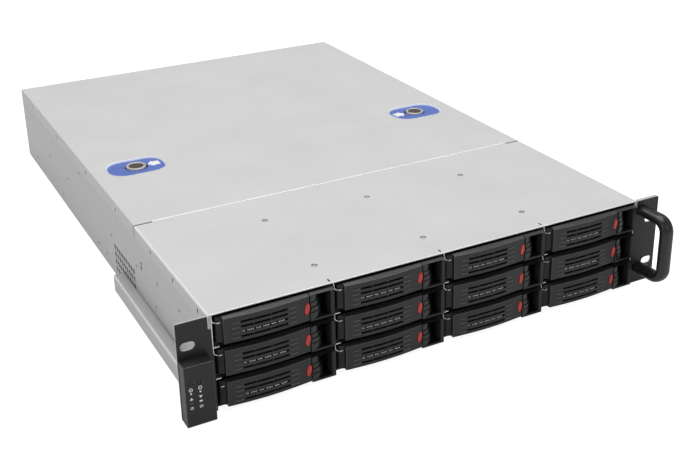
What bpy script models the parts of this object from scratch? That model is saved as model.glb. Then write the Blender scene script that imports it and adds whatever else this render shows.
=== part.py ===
"""Two-unit rack storage server with twelve hot-swap drive bays.

Metres, +Z up. The front faces -Y. The origin is the middle of the bottom of the bounding box.
The bays are numbered row by row: row 1 is the top row, column 1 is the left column.
"""

import math

import bmesh
import bpy

MM = 0.001

# Overall size
RACK_WIDTH = 482.6 * MM
BODY_WIDTH = 430.0 * MM
BODY_HEIGHT = 88.0 * MM
BODY_DEPTH = 650.0 * MM
HANDLE_REACH = 38.0 * MM
PSU_HANDLE_REACH = 26.0 * MM
FRONT = (HANDLE_REACH - PSU_HANDLE_REACH - BODY_DEPTH) / 2
REAR = FRONT + BODY_DEPTH
HALF_WIDTH = BODY_WIDTH / 2

# Sheet metal
SHEET = 1.0 * MM
DIVIDER = 0.8 * MM
GAP = 0.3 * MM
BEND_RADIUS = 1.6 * MM
COVER_SPLIT = 185.5 * MM
COVER_FLANGE = 11.8 * MM
FLOOR_TOP = SHEET
COVER_UNDERSIDE = BODY_HEIGHT - SHEET

# Bays
COLUMNS = 4
ROWS = 3
COLUMN_PITCH = 106.0 * MM
ROW_PITCH = 28.7 * MM
MIDDLE_ROW_Z = 44.0 * MM
BEZEL_HEIGHT = 27.3 * MM
BEZEL_WIDTH = 104.6 * MM
BEZEL_FRONT = 4.0 * MM
BEZEL_BACK = 14.0 * MM
FRAME_FRONT = -5.0 * MM
FRAME_LEFT = 84.3 * MM
FRAME_LOW = -12.0 * MM
FRAME_LEDGE = 12.0 * MM
POCKET_LEFT = 1.6 * MM
POCKET_RIGHT = 84.6 * MM
POCKET_BACK = 8.2 * MM
POCKET_HEIGHT = 24.0 * MM
RECESS_LEFT = 85.5 * MM
RECESS_FOOT = 94.0 * MM
RECESS_RIGHT = 100.6 * MM
RECESS_BACK = 9.0 * MM
RECESS_LOW = -10.2 * MM
RECESS_HIGH = 11.4 * MM
DRIVE_WIDTH = 101.6 * MM
DRIVE_HEIGHT = 26.1 * MM
DRIVE_LENGTH = 147.0 * MM
DRIVE_FRONT = 18.0 * MM
RAIL_LENGTH = 172.0 * MM
RAIL_THICKNESS = 1.2 * MM
RAIL_HEIGHT = 21.0 * MM

# Lever and its release button, measured from the bay's left edge and from the body's front
PIVOT_U = 6.0 * MM
PIVOT_V = 2.6 * MM
BARREL_RADIUS = 3.0 * MM
LEVER_START = 7.8 * MM
LEVER_END = 84.0 * MM
LEVER_EDGE_V = -4.6 * MM
LEVER_BULGE = 2.2 * MM
LEVER_BACK_V = 2.0 * MM
LEVER_LOW = -10.9 * MM
FACE_TOP = 11.3 * MM
RIDGE_V = -1.0 * MM
RIDGE_Z = 12.4 * MM
LEVER_NECK_Z = 11.4 * MM
BUTTON_U = 80.2 * MM
BUTTON_WIDTH = 5.2 * MM
BUTTON_HEIGHT = 10.4 * MM
BUTTON_FRONT_V = -6.2 * MM
BUTTON_BACK_V = 1.4 * MM

# Cage, backplane and fans, measured back from the body's front
CAGE_DEPTH = 177.5 * MM
CAGE_WINDOW_WIDTH = 88.0 * MM
CAGE_WINDOW_HEIGHT = 22.0 * MM
INNER_HALF_WIDTH = 205.0 * MM
INNER_TOP = 86.2 * MM
LIP_REACH = 5.0 * MM
LIP_THICKNESS = 0.8 * MM
BACKPLANE_V = 180.0 * MM
BACKPLANE_THICKNESS = 2.0 * MM
BACKPLANE_LOW_Z = 3.0 * MM
BACKPLANE_HIGH_Z = 85.0 * MM
BACKPLANE_VENT_WIDTH = 76.0 * MM
PLUG_V = 166.5 * MM
PLUG_WIDTH = 44.0 * MM
PLUG_HEIGHT = 7.0 * MM
PLUG_DROP = 10.0 * MM
FAN_WALL_V = 200.0 * MM
FAN_WALL_DEPTH = 40.0 * MM
FAN_PITCH = 128.0 * MM
FAN_DUCT_RADIUS = 39.0 * MM
FAN_BLADE_RADIUS = 37.5 * MM
FAN_HUB_RADIUS = 19.0 * MM
FAN_BLADES = 7
ROTOR_DEPTH = 26.0 * MM
ROTOR_MIDDLE = 18.0 * MM

# Rack ears, handle and control box
EAR_LOW = 1.0 * MM
EAR_HIGH = 87.0 * MM
EAR_THICKNESS = 2.0 * MM
SLOT_X = 232.5 * MM
SLOT_LENGTH = 12.5 * MM
SLOT_WIDTH = 7.5 * MM
SLOT_LOW_Z = 21.8 * MM
SLOT_HIGH_Z = 66.2 * MM
EAR_TAB_DEPTH = 18.0 * MM
WALL_RELIEF = 0.4 * MM
HANDLE_X = 222.4 * MM
HANDLE_HALF_WIDTH = 7.0 * MM
HANDLE_HALF_DEPTH = 4.8 * MM
HANDLE_BEND = 11.0 * MM
HANDLE_LOW_Z = 13.5 * MM
HANDLE_HIGH_Z = 76.5 * MM
BOX_TOP = 55.0 * MM
BOX_REACH = 11.3 * MM
PANEL_BUTTON_Z = 39.3 * MM
POWER_BUTTON_X = -236.2 * MM
RESET_BUTTON_X = -228.6 * MM
PANEL_BUTTON_RADIUS = 2.1 * MM
CHANNEL_REACH = 10.6 * MM
CHANNEL_TOP = 18.0 * MM
CHANNEL_LENGTH = 235.0 * MM

# Cover latches
LATCH_X = 168.0 * MM
LATCH_V = 325.0 * MM
LATCH_LENGTH = 62.5 * MM
LATCH_WIDTH = 45.0 * MM
LATCH_DEPTH = 3.0 * MM
LATCH_BUTTON_RADIUS = 10.5 * MM

# Power supplies, main board and cooler
PSU_WIDTH = 73.5 * MM
PSU_HEIGHT = 40.0 * MM
PSU_DEPTH = 185.0 * MM
PSU_X = 168.0 * MM
PSU_LOW_Z = 1.6 * MM
PSU_SHELF_Z = 42.6 * MM
BOARD_LEFT = -180.0 * MM
BOARD_WIDTH = 305.0 * MM
BOARD_DEPTH = 244.0 * MM
BOARD_Z = 8.0 * MM
BOARD_THICKNESS = 1.6 * MM
PORTS_LEFT = -33.0 * MM
PORTS_RIGHT = 123.0 * MM
PORTS_TOP = 46.0 * MM
COOLER_WIDTH = 90.0 * MM
COOLER_X = -95.0 * MM
COOLER_TOP = 70.0 * MM
COOLER_FINS = 10
COOLER_FIN_THICKNESS = 2.2 * MM
INLET_LEFT = 4.0 * MM
INLET_RIGHT = 30.0 * MM
INLET_LOW = 10.0 * MM
INLET_HIGH = 29.0 * MM
INLET_DEPTH = 14.0 * MM

COLOURS = {
    "steel": ((0.60, 0.60, 0.59), 0.42, 0.85),
    "zinc": ((0.68, 0.69, 0.70), 0.30, 0.95),
    "black_paint": ((0.020, 0.020, 0.021), 0.45, 0.0),
    "black_plastic": ((0.028, 0.028, 0.030), 0.50, 0.0),
    "red_plastic": ((0.52, 0.035, 0.030), 0.40, 0.0),
    "blue_plastic": ((0.090, 0.145, 0.560), 0.38, 0.0),
    "chrome": ((0.75, 0.75, 0.76), 0.12, 1.0),
    "board": ((0.010, 0.110, 0.045), 0.45, 0.0),
    "aluminium": ((0.72, 0.73, 0.74), 0.32, 1.0),
}


def clear_scene():
    """Leave an empty file."""
    for item in list(bpy.data.objects):
        bpy.data.objects.remove(item, do_unlink=True)


def make_material(name, kind):
    """A Principled material of one of the listed colours."""
    colour, roughness, metallic = COLOURS[kind]
    material = bpy.data.materials.new(name)
    material.use_nodes = True
    shader = material.node_tree.nodes["Principled BSDF"]
    shader.inputs["Base Color"].default_value = (*colour, 1.0)
    shader.inputs["Roughness"].default_value = roughness
    shader.inputs["Metallic"].default_value = metallic
    return material


def add_object(name, mesh, location=(0.0, 0.0, 0.0), parent=None):
    """Put a mesh in the scene under a name."""
    item = bpy.data.objects.new(name, mesh)
    bpy.context.scene.collection.objects.link(item)
    item.location = location
    item.parent = parent
    return item


def add_prism(shape, outline, axis, low, high):
    """Add a straight bar with a flat outline, from low to high along an axis, to a bmesh.

    The outline's two numbers are the other two axes in X, Y, Z order.
    """
    order = {"X": (2, 0, 1), "Y": (0, 2, 1), "Z": (0, 1, 2)}[axis]
    rings = []
    for level in (low, high):
        corners = [(first, second, level) for first, second in outline]
        rings.append([shape.verts.new([corner[i] for i in order]) for corner in corners])
    add_skin(shape, rings)


def add_box(shape, low, high):
    """Add a box between two corners to a bmesh."""
    outline = [(low[0], low[1]), (high[0], low[1]), (high[0], high[1]), (low[0], high[1])]
    add_prism(shape, outline, "Z", low[2], high[2])


def add_skin(shape, rings):
    """Join a row of equal closed rings into a solid with flat ends."""
    for near, far in zip(rings, rings[1:]):
        for i in range(len(near)):
            j = (i + 1) % len(near)
            shape.faces.new((near[i], near[j], far[j], far[i]))
    shape.faces.new(rings[0])
    shape.faces.new(rings[-1])


def to_mesh(shape, name):
    """Close a bmesh into a mesh with its faces pointing out."""
    bmesh.ops.recalc_face_normals(shape, faces=shape.faces)
    mesh = bpy.data.meshes.new(name)
    shape.to_mesh(mesh)
    shape.free()
    return mesh


def prism_mesh(name, outline, axis, low, high):
    """A mesh with one straight bar in it."""
    shape = bmesh.new()
    add_prism(shape, outline, axis, low, high)
    return to_mesh(shape, name)


def box_mesh(name, boxes):
    """A mesh of boxes, each given by its low and its high corner."""
    shape = bmesh.new()
    for low, high in boxes:
        add_box(shape, low, high)
    return to_mesh(shape, name)


def combine(mesh, tool, operation):
    """Join a tool mesh to a mesh, or cut it away, and give the result as a mesh."""
    body = add_object("body", mesh)
    cutter = add_object("cutter", tool)
    cutter.hide_render = True
    cutter.display_type = "WIRE"
    boolean = body.modifiers.new("boolean", "BOOLEAN")
    boolean.object = cutter
    boolean.operation = operation
    graph = bpy.context.evaluated_depsgraph_get()
    result = bpy.data.meshes.new_from_object(body.evaluated_get(graph))
    bpy.data.objects.remove(body, do_unlink=True)
    bpy.data.objects.remove(cutter, do_unlink=True)
    bpy.data.meshes.remove(mesh)
    bpy.data.meshes.remove(tool)
    return result


def join(mesh, *tools):
    """One solid from overlapping meshes."""
    for tool in tools:
        mesh = combine(mesh, tool, "UNION")
    return mesh


def cut(mesh, *tools):
    """A mesh with other meshes cut away."""
    for tool in tools:
        mesh = combine(mesh, tool, "DIFFERENCE")
    return mesh


def bevel_front(mesh, width, front_y, segments=2):
    """Round the edges of a mesh that lie in one plane facing the front."""
    shape = bmesh.new()
    shape.from_mesh(mesh)
    tolerance = 0.05 * MM
    edges = [
        edge
        for edge in shape.edges
        if all(abs(vert.co.y - front_y) < tolerance for vert in edge.verts)
        and edge.calc_face_angle(0.0) > math.radians(30)
    ]
    bmesh.ops.bevel(
        shape, geom=edges, offset=width, segments=segments, affect="EDGES", profile=0.5
    )
    shape.to_mesh(mesh)
    shape.free()
    return mesh


def arc(centre, radii, start, end, steps):
    """Points along an arc of an ellipse, angles in degrees."""
    points = []
    for i in range(steps + 1):
        angle = math.radians(start + (end - start) * i / steps)
        first = centre[0] + radii[0] * math.cos(angle)
        second = centre[1] + radii[1] * math.sin(angle)
        points.append((first, second))
    return points


def circle(centre, radius, steps):
    """A closed round outline."""
    return arc(centre, (radius, radius), 0, 360 - 360 / steps, steps - 1)


def stadium(centre, length, width, steps=6):
    """A closed outline with straight sides along the first axis and round ends."""
    reach = (length - width) / 2
    radii = (width / 2, width / 2)
    right = arc((centre[0] + reach, centre[1]), radii, -90, 90, steps)
    left = arc((centre[0] - reach, centre[1]), radii, 90, 270, steps)
    return right + left


def mirrored(points):
    """An outline's right half followed by its mirror image, as one closed outline."""
    return points + [(-first, second) for first, second in reversed(points)]


def smooth(mesh):
    """Shade the round faces of a mesh smooth and keep its corners sharp."""
    mesh.shade_smooth()
    mesh.set_sharp_from_angle(angle=math.radians(35))
    return mesh


def place_part(name, mesh, kind, location=(0.0, 0.0, 0.0), parent=None):
    """Put a finished sub-part in the scene with its own material."""
    item = add_object(name, mesh, location, parent)
    if not mesh.materials:
        mesh.materials.append(None)
    item.material_slots[0].link = "OBJECT"
    item.material_slots[0].material = make_material(name, kind)
    return item


# ---------------------------------------------------------------- case


def make_chassis():
    """Floor, side walls stepped for the covers' flanges and let in for the ears, and rear wall."""
    step = SHEET + GAP
    flange_bottom = BODY_HEIGHT - COVER_FLANGE
    ledge = flange_bottom - GAP
    wall_top = COVER_UNDERSIDE - GAP
    bend = arc((HALF_WIDTH - BEND_RADIUS, BEND_RADIUS), (BEND_RADIUS, BEND_RADIUS), -90, 0, 3)
    right = bend + [
        (HALF_WIDTH, ledge),
        (HALF_WIDTH - step, ledge),
        (HALF_WIDTH - step, wall_top),
        (HALF_WIDTH - step - SHEET, wall_top),
        (HALF_WIDTH - step - SHEET, ledge - SHEET),
        (HALF_WIDTH - SHEET, ledge - SHEET),
        (HALF_WIDTH - SHEET, FLOOR_TOP),
    ]
    shell = prism_mesh("chassis_base", mirrored(right), "Y", FRONT, REAR - SHEET / 2)
    wide = HALF_WIDTH - SHEET / 2
    narrow = HALF_WIDTH - step - SHEET / 2
    wall_outline = mirrored([(wide, SHEET / 2), (wide, ledge - SHEET / 2), (narrow, ledge - SHEET / 2),
                             (narrow, wall_top - GAP)])
    rear_wall = prism_mesh("rear_wall", wall_outline, "Y", REAR - SHEET, REAR)
    guide_x = PSU_X - PSU_WIDTH / 2 - 2 * MM
    guide = box_mesh("guide", [((guide_x - SHEET, REAR - PSU_DEPTH, SHEET / 2),
                                (guide_x, REAR - SHEET / 2, wall_top - 2 * GAP))])
    shelf = box_mesh("shelf", [((guide_x - SHEET / 2, REAR - PSU_DEPTH + MM, PSU_SHELF_Z),
                                (HALF_WIDTH - SHEET / 2, REAR - SHEET / 2, PSU_SHELF_Z + SHEET))])
    clear = 1.0 * MM
    windows = []
    for low_z in (PSU_LOW_Z, PSU_SHELF_Z + SHEET + 0.6 * MM):
        windows.append(((PSU_X - PSU_WIDTH / 2 - clear, REAR - 2 * SHEET, low_z - 0.2 * MM),
                        (PSU_X + PSU_WIDTH / 2 + clear, REAR + SHEET, low_z + PSU_HEIGHT + 0.4 * MM)))
    windows.append(((PORTS_LEFT - clear, REAR - 2 * SHEET, BOARD_Z - 2 * MM),
                    (PORTS_RIGHT + clear, REAR + SHEET, PORTS_TOP + clear)))
    relief_start = FRONT - SHEET
    tab_end = FRONT + EAR_TAB_DEPTH + GAP
    duct_end = FRONT + CHANNEL_LENGTH + 3 * MM
    duct_top = CHANNEL_TOP + 2 * GAP
    beside_ear = [(relief_start, -SHEET), (tab_end, -SHEET), (tab_end, flange_bottom),
                  (relief_start, flange_bottom)]
    beside_duct = [(relief_start, -SHEET), (duct_end, -SHEET), (duct_end, duct_top), (tab_end, duct_top),
                   (tab_end, flange_bottom), (relief_start, flange_bottom)]
    reliefs = [prism_mesh("relief", beside_duct, "X", -HALF_WIDTH - SHEET, WALL_RELIEF - HALF_WIDTH),
               prism_mesh("relief", beside_ear, "X", HALF_WIDTH - WALL_RELIEF, HALF_WIDTH + SHEET)]
    mesh = join(shell, rear_wall, guide, shelf)
    return cut(mesh, box_mesh("windows", windows), *reliefs)


def make_cover(name, start, end, slots=()):
    """A flat cover with a bent flange down each side; slots are outlines cut through its top."""
    outer = arc((HALF_WIDTH - BEND_RADIUS, BODY_HEIGHT - BEND_RADIUS),
                (BEND_RADIUS, BEND_RADIUS), 0, 90, 4)
    inner_radius = BEND_RADIUS - SHEET
    inner = arc((HALF_WIDTH - BEND_RADIUS, BODY_HEIGHT - BEND_RADIUS),
                (inner_radius, inner_radius), 90, 0, 2)
    foot = BODY_HEIGHT - COVER_FLANGE
    right_outer = [(HALF_WIDTH, foot)] + outer
    right_inner = inner + [(HALF_WIDTH - SHEET, foot)]
    left_outer = [(-first, second) for first, second in reversed(right_outer)]
    left_inner = [(-first, second) for first, second in reversed(right_inner)]
    outline = right_outer + left_outer + left_inner + right_inner
    mesh = prism_mesh(name, outline, "Y", start, end)
    for outline in slots:
        tool = prism_mesh("slot", outline, "Z", BODY_HEIGHT - 3 * SHEET, BODY_HEIGHT + SHEET)
        mesh = cut(mesh, tool)
    return smooth(mesh)


def make_channel():
    """The open-backed cable duct low on the left side."""
    left = -HALF_WIDTH - CHANNEL_REACH
    right = -HALF_WIDTH - GAP
    outline = [
        (right, 0.0), (right, SHEET), (left + SHEET, SHEET), (left + SHEET, CHANNEL_TOP - SHEET),
        (right, CHANNEL_TOP - SHEET), (right, CHANNEL_TOP), (left, CHANNEL_TOP), (left, 0.0),
    ]
    start = FRONT + EAR_THICKNESS + GAP
    return prism_mesh("cable_channel", outline, "Y", start, FRONT + CHANNEL_LENGTH)


# ---------------------------------------------------------------- front


def make_cage():
    """Upright dividers with lips that carry the trays, joined by a plate with windows behind."""
    low_z = FLOOR_TOP + GAP
    high_z = COVER_UNDERSIDE - GAP
    lip_levels = [MIDDLE_ROW_Z - ROW_PITCH / 2, MIDDLE_ROW_Z + ROW_PITCH / 2]
    dividers = bmesh.new()
    for i in range(COLUMNS + 1):
        x = (i - COLUMNS / 2) * COLUMN_PITCH
        sides = [side for side in (-1, 1) if 0 <= i + (side - 1) / 2 < COLUMNS]
        right = [(x + DIVIDER / 2, low_z)]
        left = [(x - DIVIDER / 2, low_z)]
        for z in lip_levels:
            for side, edge in ((1, right), (-1, left)):
                if side in sides:
                    root = x + side * DIVIDER / 2
                    tip = root + side * LIP_REACH
                    under = z - LIP_THICKNESS / 2
                    over = z + LIP_THICKNESS / 2
                    edge.extend([(root, under), (tip, under), (tip, over), (root, over)])
        right.append((x + DIVIDER / 2, high_z))
        left.append((x - DIVIDER / 2, high_z))
        add_prism(dividers, right + left[::-1], "Y", FRONT, FRONT + CAGE_DEPTH - SHEET / 2)
    mesh = to_mesh(dividers, "drive_cage")
    edge_x = COLUMNS / 2 * COLUMN_PITCH + DIVIDER / 2 - 0.1 * MM
    plate = box_mesh("plate", [((-edge_x, FRONT + CAGE_DEPTH - SHEET, low_z + GAP),
                                (edge_x, FRONT + CAGE_DEPTH, high_z - GAP))])
    windows = []
    for _, x, z in bays():
        half_x, half_z = CAGE_WINDOW_WIDTH / 2, CAGE_WINDOW_HEIGHT / 2
        windows.append(((x - half_x, FRONT + CAGE_DEPTH - 2 * SHEET, z - half_z),
                        (x + half_x, FRONT + CAGE_DEPTH + SHEET, z + half_z)))
    return cut(join(mesh, plate), box_mesh("windows", windows))


def bays():
    """Each bay's name ending and the X and Z of its middle."""
    for row in range(ROWS):
        for column in range(COLUMNS):
            x = (column - (COLUMNS - 1) / 2) * COLUMN_PITCH
            z = MIDDLE_ROW_Z + (1 - row) * ROW_PITCH
            yield f"r{row + 1}c{column + 1}", x, z


def make_tray():
    """Bezel with a lever pocket and a finger recess, side rails, and the drive that it carries.

    X is measured from the middle of the bay, Y from the body's front, Z from the row's middle.
    """
    half = BEZEL_HEIGHT / 2
    edge = COLUMN_PITCH / 2
    left = -BEZEL_WIDTH / 2
    right = BEZEL_WIDTH / 2
    frame_left = FRAME_LEFT - edge
    plan = [(left, BEZEL_FRONT), (frame_left, BEZEL_FRONT), (frame_left, FRAME_FRONT),
            (right, FRAME_FRONT), (right, BEZEL_BACK), (left, BEZEL_BACK)]
    bezel = prism_mesh("tray", plan, "Z", -half, half)
    pocket = box_mesh("pocket", [((POCKET_LEFT - edge, -10 * MM, -POCKET_HEIGHT / 2),
                                  (POCKET_RIGHT - edge, POCKET_BACK, POCKET_HEIGHT / 2))])
    radii = (RECESS_FOOT - RECESS_LEFT, RECESS_BACK - FRAME_FRONT)
    wall = arc((RECESS_LEFT - edge, RECESS_BACK), radii, -90, 0, 5)
    mouth = FRAME_FRONT - MM
    outline = [(RECESS_LEFT - edge, mouth)] + wall
    outline += [(RECESS_RIGHT - edge, RECESS_BACK), (RECESS_RIGHT - edge, mouth)]
    recess = prism_mesh("recess", outline, "Z", RECESS_LOW, RECESS_HIGH)
    far = 2 * MM
    slope = (RIDGE_Z - FACE_TOP) / (RIDGE_V - FRAME_FRONT)
    top_cut = [(FRAME_FRONT - far, FACE_TOP - slope * far), (RIDGE_V, RIDGE_Z),
               (RIDGE_V + 0.5 * MM, FRAME_LEDGE), (BEZEL_FRONT, FRAME_LEDGE),
               (BEZEL_FRONT, half + far), (FRAME_FRONT - far, half + far)]
    low_cut = [(FRAME_FRONT - far, -half - far), (BEZEL_FRONT, -half - far),
               (BEZEL_FRONT, FRAME_LOW), (FRAME_FRONT - far, FRAME_LOW)]
    trims = [prism_mesh("trim", trim, "X", frame_left - MM, right + MM) for trim in (top_cut, low_cut)]
    mesh = cut(bezel, pocket, recess, *trims)
    overlap = 0.2 * MM
    drive_half = DRIVE_WIDTH / 2
    rail_low = -half + 0.4 * MM
    rails = [
        ((side * drive_half - (RAIL_THICKNESS if side < 0 else 0), BEZEL_BACK - overlap, rail_low),
         (side * drive_half + (RAIL_THICKNESS if side > 0 else 0), RAIL_LENGTH, rail_low + RAIL_HEIGHT))
        for side in (-1, 1)
    ]
    drive_low = rail_low + 0.6 * MM
    drive = box_mesh("drive", [((-drive_half - overlap, DRIVE_FRONT, drive_low),
                                (drive_half + overlap, DRIVE_FRONT + DRIVE_LENGTH,
                                 drive_low + DRIVE_HEIGHT - 0.4 * MM))])
    return join(mesh, box_mesh("rails", rails), drive)


def lever_front(u):
    """How far the lever's face lies from the body's front, u from the bay's left edge."""
    along = (u - LEVER_START) / (LEVER_END - LEVER_START)
    return LEVER_EDGE_V - LEVER_BULGE * math.sin(math.pi * along)


def make_lever():
    """The bowed lever, hung on a round barrel at its left end. Its origin is on the pivot."""
    steps = 8
    shape = bmesh.new()
    rings = []
    for i in range(steps + 1):
        u = LEVER_START + (LEVER_END - LEVER_START) * i / steps
        front = lever_front(u)
        section = [(front, LEVER_LOW), (front, FACE_TOP), (RIDGE_V, RIDGE_Z),
                   (RIDGE_V + 0.5 * MM, LEVER_NECK_Z), (LEVER_BACK_V, LEVER_NECK_Z),
                   (LEVER_BACK_V, LEVER_LOW)]
        rings.append([shape.verts.new((u - PIVOT_U, v - PIVOT_V, z)) for v, z in section])
    add_skin(shape, rings)
    bar = to_mesh(shape, "lever")
    outline = [(LEVER_START + MM, LEVER_EDGE_V + 0.7 * MM),
               (PIVOT_U + 1.6 * BARREL_RADIUS, LEVER_BACK_V - 0.5 * MM)]
    outline += arc((PIVOT_U, PIVOT_V), (BARREL_RADIUS, BARREL_RADIUS), 20, 220, 6)
    outline = [(u - PIVOT_U, v - PIVOT_V) for u, v in outline]
    barrel = prism_mesh("barrel", outline, "Z", LEVER_LOW + 0.1 * MM, LEVER_NECK_Z - 0.1 * MM)
    hole = stadium((0.0, BUTTON_U - PIVOT_U), BUTTON_HEIGHT + 0.7 * MM, BUTTON_WIDTH + 0.7 * MM, 4)
    hole = [(u, z) for z, u in hole]
    return smooth(cut(join(bar, barrel), prism_mesh("hole", hole, "Y", -20 * MM, 10 * MM)))


def make_release_button():
    """The oval push button in the lever's free end. Its origin is its middle."""
    outline = [(x, z) for z, x in stadium((0.0, 0.0), BUTTON_HEIGHT, BUTTON_WIDTH, 4)]
    reach = (BUTTON_BACK_V - BUTTON_FRONT_V) / 2
    mesh = prism_mesh("release_button", outline, "Y", -reach, reach)
    return smooth(bevel_front(mesh, 0.8 * MM, -reach, 1))


def make_ear(side):
    """A rack ear: a plate with a flange along the body's side and slots for the rack's screws."""
    inner = side * (HALF_WIDTH + GAP)
    outer = side * RACK_WIDTH / 2
    flange = inner + side * EAR_THICKNESS
    low_x, high_x = sorted((inner, outer))
    flange_low, flange_high = sorted((inner, flange))
    flange_z = (2 * MM, 16.4 * MM) if side < 0 else (4 * MM, 84 * MM)
    plate = box_mesh("ear", [((low_x, FRONT, EAR_LOW), (high_x, FRONT + EAR_THICKNESS, EAR_HIGH))])
    tab = box_mesh("tab", [((flange_low, FRONT + EAR_THICKNESS / 2, flange_z[0]),
                            (flange_high, FRONT + EAR_TAB_DEPTH, flange_z[1]))])
    mesh = join(plate, tab)
    for z in ((SLOT_HIGH_Z,) if side < 0 else (SLOT_LOW_Z, SLOT_HIGH_Z)):
        outline = stadium((side * SLOT_X, z), SLOT_LENGTH, SLOT_WIDTH, 5)
        mesh = cut(mesh, prism_mesh("slot", outline, "Y", FRONT - 5 * MM, FRONT + 5 * MM))
    return mesh


def make_handle():
    """The oval bar bent into a bow in front of the right ear."""
    reach = HANDLE_REACH - HANDLE_HALF_DEPTH
    steps = 5
    radii = (HANDLE_BEND, HANDLE_BEND)
    upper = arc((-reach + HANDLE_BEND, HANDLE_HIGH_Z - HANDLE_BEND), radii, 90, 180, steps)
    lower = arc((-reach + HANDLE_BEND, HANDLE_LOW_Z + HANDLE_BEND), radii, 180, 270, steps)
    path = [(-GAP, HANDLE_HIGH_Z)] + upper + lower + [(-GAP, HANDLE_LOW_Z)]
    shape = bmesh.new()
    sides = 16
    section = arc((0.0, 0.0), (HANDLE_HALF_WIDTH, HANDLE_HALF_DEPTH), 0, 360 - 360 / sides, sides - 1)
    rings = []
    for i, (v, z) in enumerate(path):
        before = path[max(i - 1, 0)]
        after = path[min(i + 1, len(path) - 1)]
        run = math.hypot(after[0] - before[0], after[1] - before[1])
        normal = ((after[1] - before[1]) / run, -(after[0] - before[0]) / run)
        ring = []
        for x, offset in section:
            place = (HANDLE_X + x, FRONT + v + offset * normal[0], z + offset * normal[1])
            ring.append(shape.verts.new(place))
        rings.append(ring)
    add_skin(shape, rings)
    return smooth(to_mesh(shape, "front_handle"))


def make_control_box():
    """The box on the left ear, with two holes for its buttons."""
    low = (-RACK_WIDTH / 2 + GAP, FRONT - BOX_REACH, EAR_LOW)
    high = (-HALF_WIDTH - 1.2 * MM, FRONT - GAP, BOX_TOP)
    mesh = bevel_front(box_mesh("control_box", [(low, high)]), 1.2 * MM, low[1])
    for x in (POWER_BUTTON_X, RESET_BUTTON_X):
        outline = circle((x, PANEL_BUTTON_Z), PANEL_BUTTON_RADIUS + 0.35 * MM, 16)
        hole = prism_mesh("hole", outline, "Y", low[1] - MM, FRONT - 3 * MM)
        mesh = cut(mesh, hole)
    return mesh


def make_panel_button():
    """A small round push button. Its origin is its middle."""
    outline = circle((0.0, 0.0), PANEL_BUTTON_RADIUS, 16)
    return smooth(prism_mesh("panel_button", outline, "Y", -2.8 * MM, 2.8 * MM))


# ---------------------------------------------------------------- cover latches


def make_latch_plate():
    """The long plate let into the cover, with a round hole for its button."""
    outline = stadium((0.0, 0.0), LATCH_LENGTH - 2 * GAP, LATCH_WIDTH - 2 * GAP, 8)
    mesh = prism_mesh("latch_plate", outline, "Z", -LATCH_DEPTH, -0.2 * MM)
    hole = circle((0.0, 0.0), LATCH_BUTTON_RADIUS + 0.4 * MM, 24)
    return smooth(cut(mesh, prism_mesh("hole", hole, "Z", -10 * MM, 10 * MM)))


def make_latch_button():
    """The round push button of a cover latch. Its origin is on the cover's top face."""
    outline = circle((0.0, 0.0), LATCH_BUTTON_RADIUS, 24)
    return smooth(prism_mesh("latch_button", outline, "Z", -LATCH_DEPTH, 0.6 * MM))


# ---------------------------------------------------------------- inside


def make_backplane():
    """The board behind the cage, with air openings and a plug for each drive."""
    low = (-INNER_HALF_WIDTH, FRONT + BACKPLANE_V, BACKPLANE_LOW_Z)
    high = (INNER_HALF_WIDTH, FRONT + BACKPLANE_V + BACKPLANE_THICKNESS, BACKPLANE_HIGH_Z)
    board = box_mesh("backplane", [(low, high)])
    plugs = []
    for _, x, z in bays():
        plugs.append(((x - PLUG_WIDTH / 2, FRONT + PLUG_V, z - PLUG_DROP),
                      (x + PLUG_WIDTH / 2, FRONT + BACKPLANE_V + MM, z - PLUG_DROP + PLUG_HEIGHT)))
    vents = []
    half_vent = BACKPLANE_VENT_WIDTH / 2
    for column in range(COLUMNS):
        x = (column - (COLUMNS - 1) / 2) * COLUMN_PITCH
        for row in range(ROWS - 1):
            z = MIDDLE_ROW_Z + (row - 0.5) * ROW_PITCH
            vents.append(((x - half_vent, FRONT + BACKPLANE_V - MM, z - 4 * MM),
                          (x + half_vent, FRONT + BACKPLANE_V + 4 * MM, z + 2 * MM)))
    return cut(join(board, box_mesh("plugs", plugs)), box_mesh("vents", vents))


def fan_positions():
    """The X of each fan's axis."""
    return [(i - 1) * FAN_PITCH for i in range(3)]


def make_fan_wall():
    """The fans' frame: a block with three ducts and a cross behind each rotor."""
    start = FRONT + FAN_WALL_V
    end = start + FAN_WALL_DEPTH
    mesh = box_mesh("fan_wall", [((-INNER_HALF_WIDTH, start, FLOOR_TOP + GAP),
                                  (INNER_HALF_WIDTH, end, INNER_TOP))])
    for x in fan_positions():
        outline = circle((x, MIDDLE_ROW_Z), FAN_DUCT_RADIUS, 32)
        mesh = cut(mesh, prism_mesh("duct", outline, "Y", start - MM, end - 4 * MM))
        inner = FAN_DUCT_RADIUS * math.sqrt(0.5) / 2
        gap = 3 * MM
        for side_x in (-1, 1):
            for side_z in (-1, 1):
                wedge = arc((x, MIDDLE_ROW_Z), (FAN_DUCT_RADIUS - MM, FAN_DUCT_RADIUS - MM), 5, 85, 6)
                wedge = [(x + side_x * (px - x), MIDDLE_ROW_Z + side_z * (pz - MIDDLE_ROW_Z))
                         for px, pz in wedge]
                wedge.append((x + side_x * gap, MIDDLE_ROW_Z + side_z * inner))
                wedge.append((x + side_x * inner, MIDDLE_ROW_Z + side_z * gap))
                mesh = cut(mesh, prism_mesh("opening", wedge, "Y", end - 6 * MM, end + MM))
    return mesh


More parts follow.
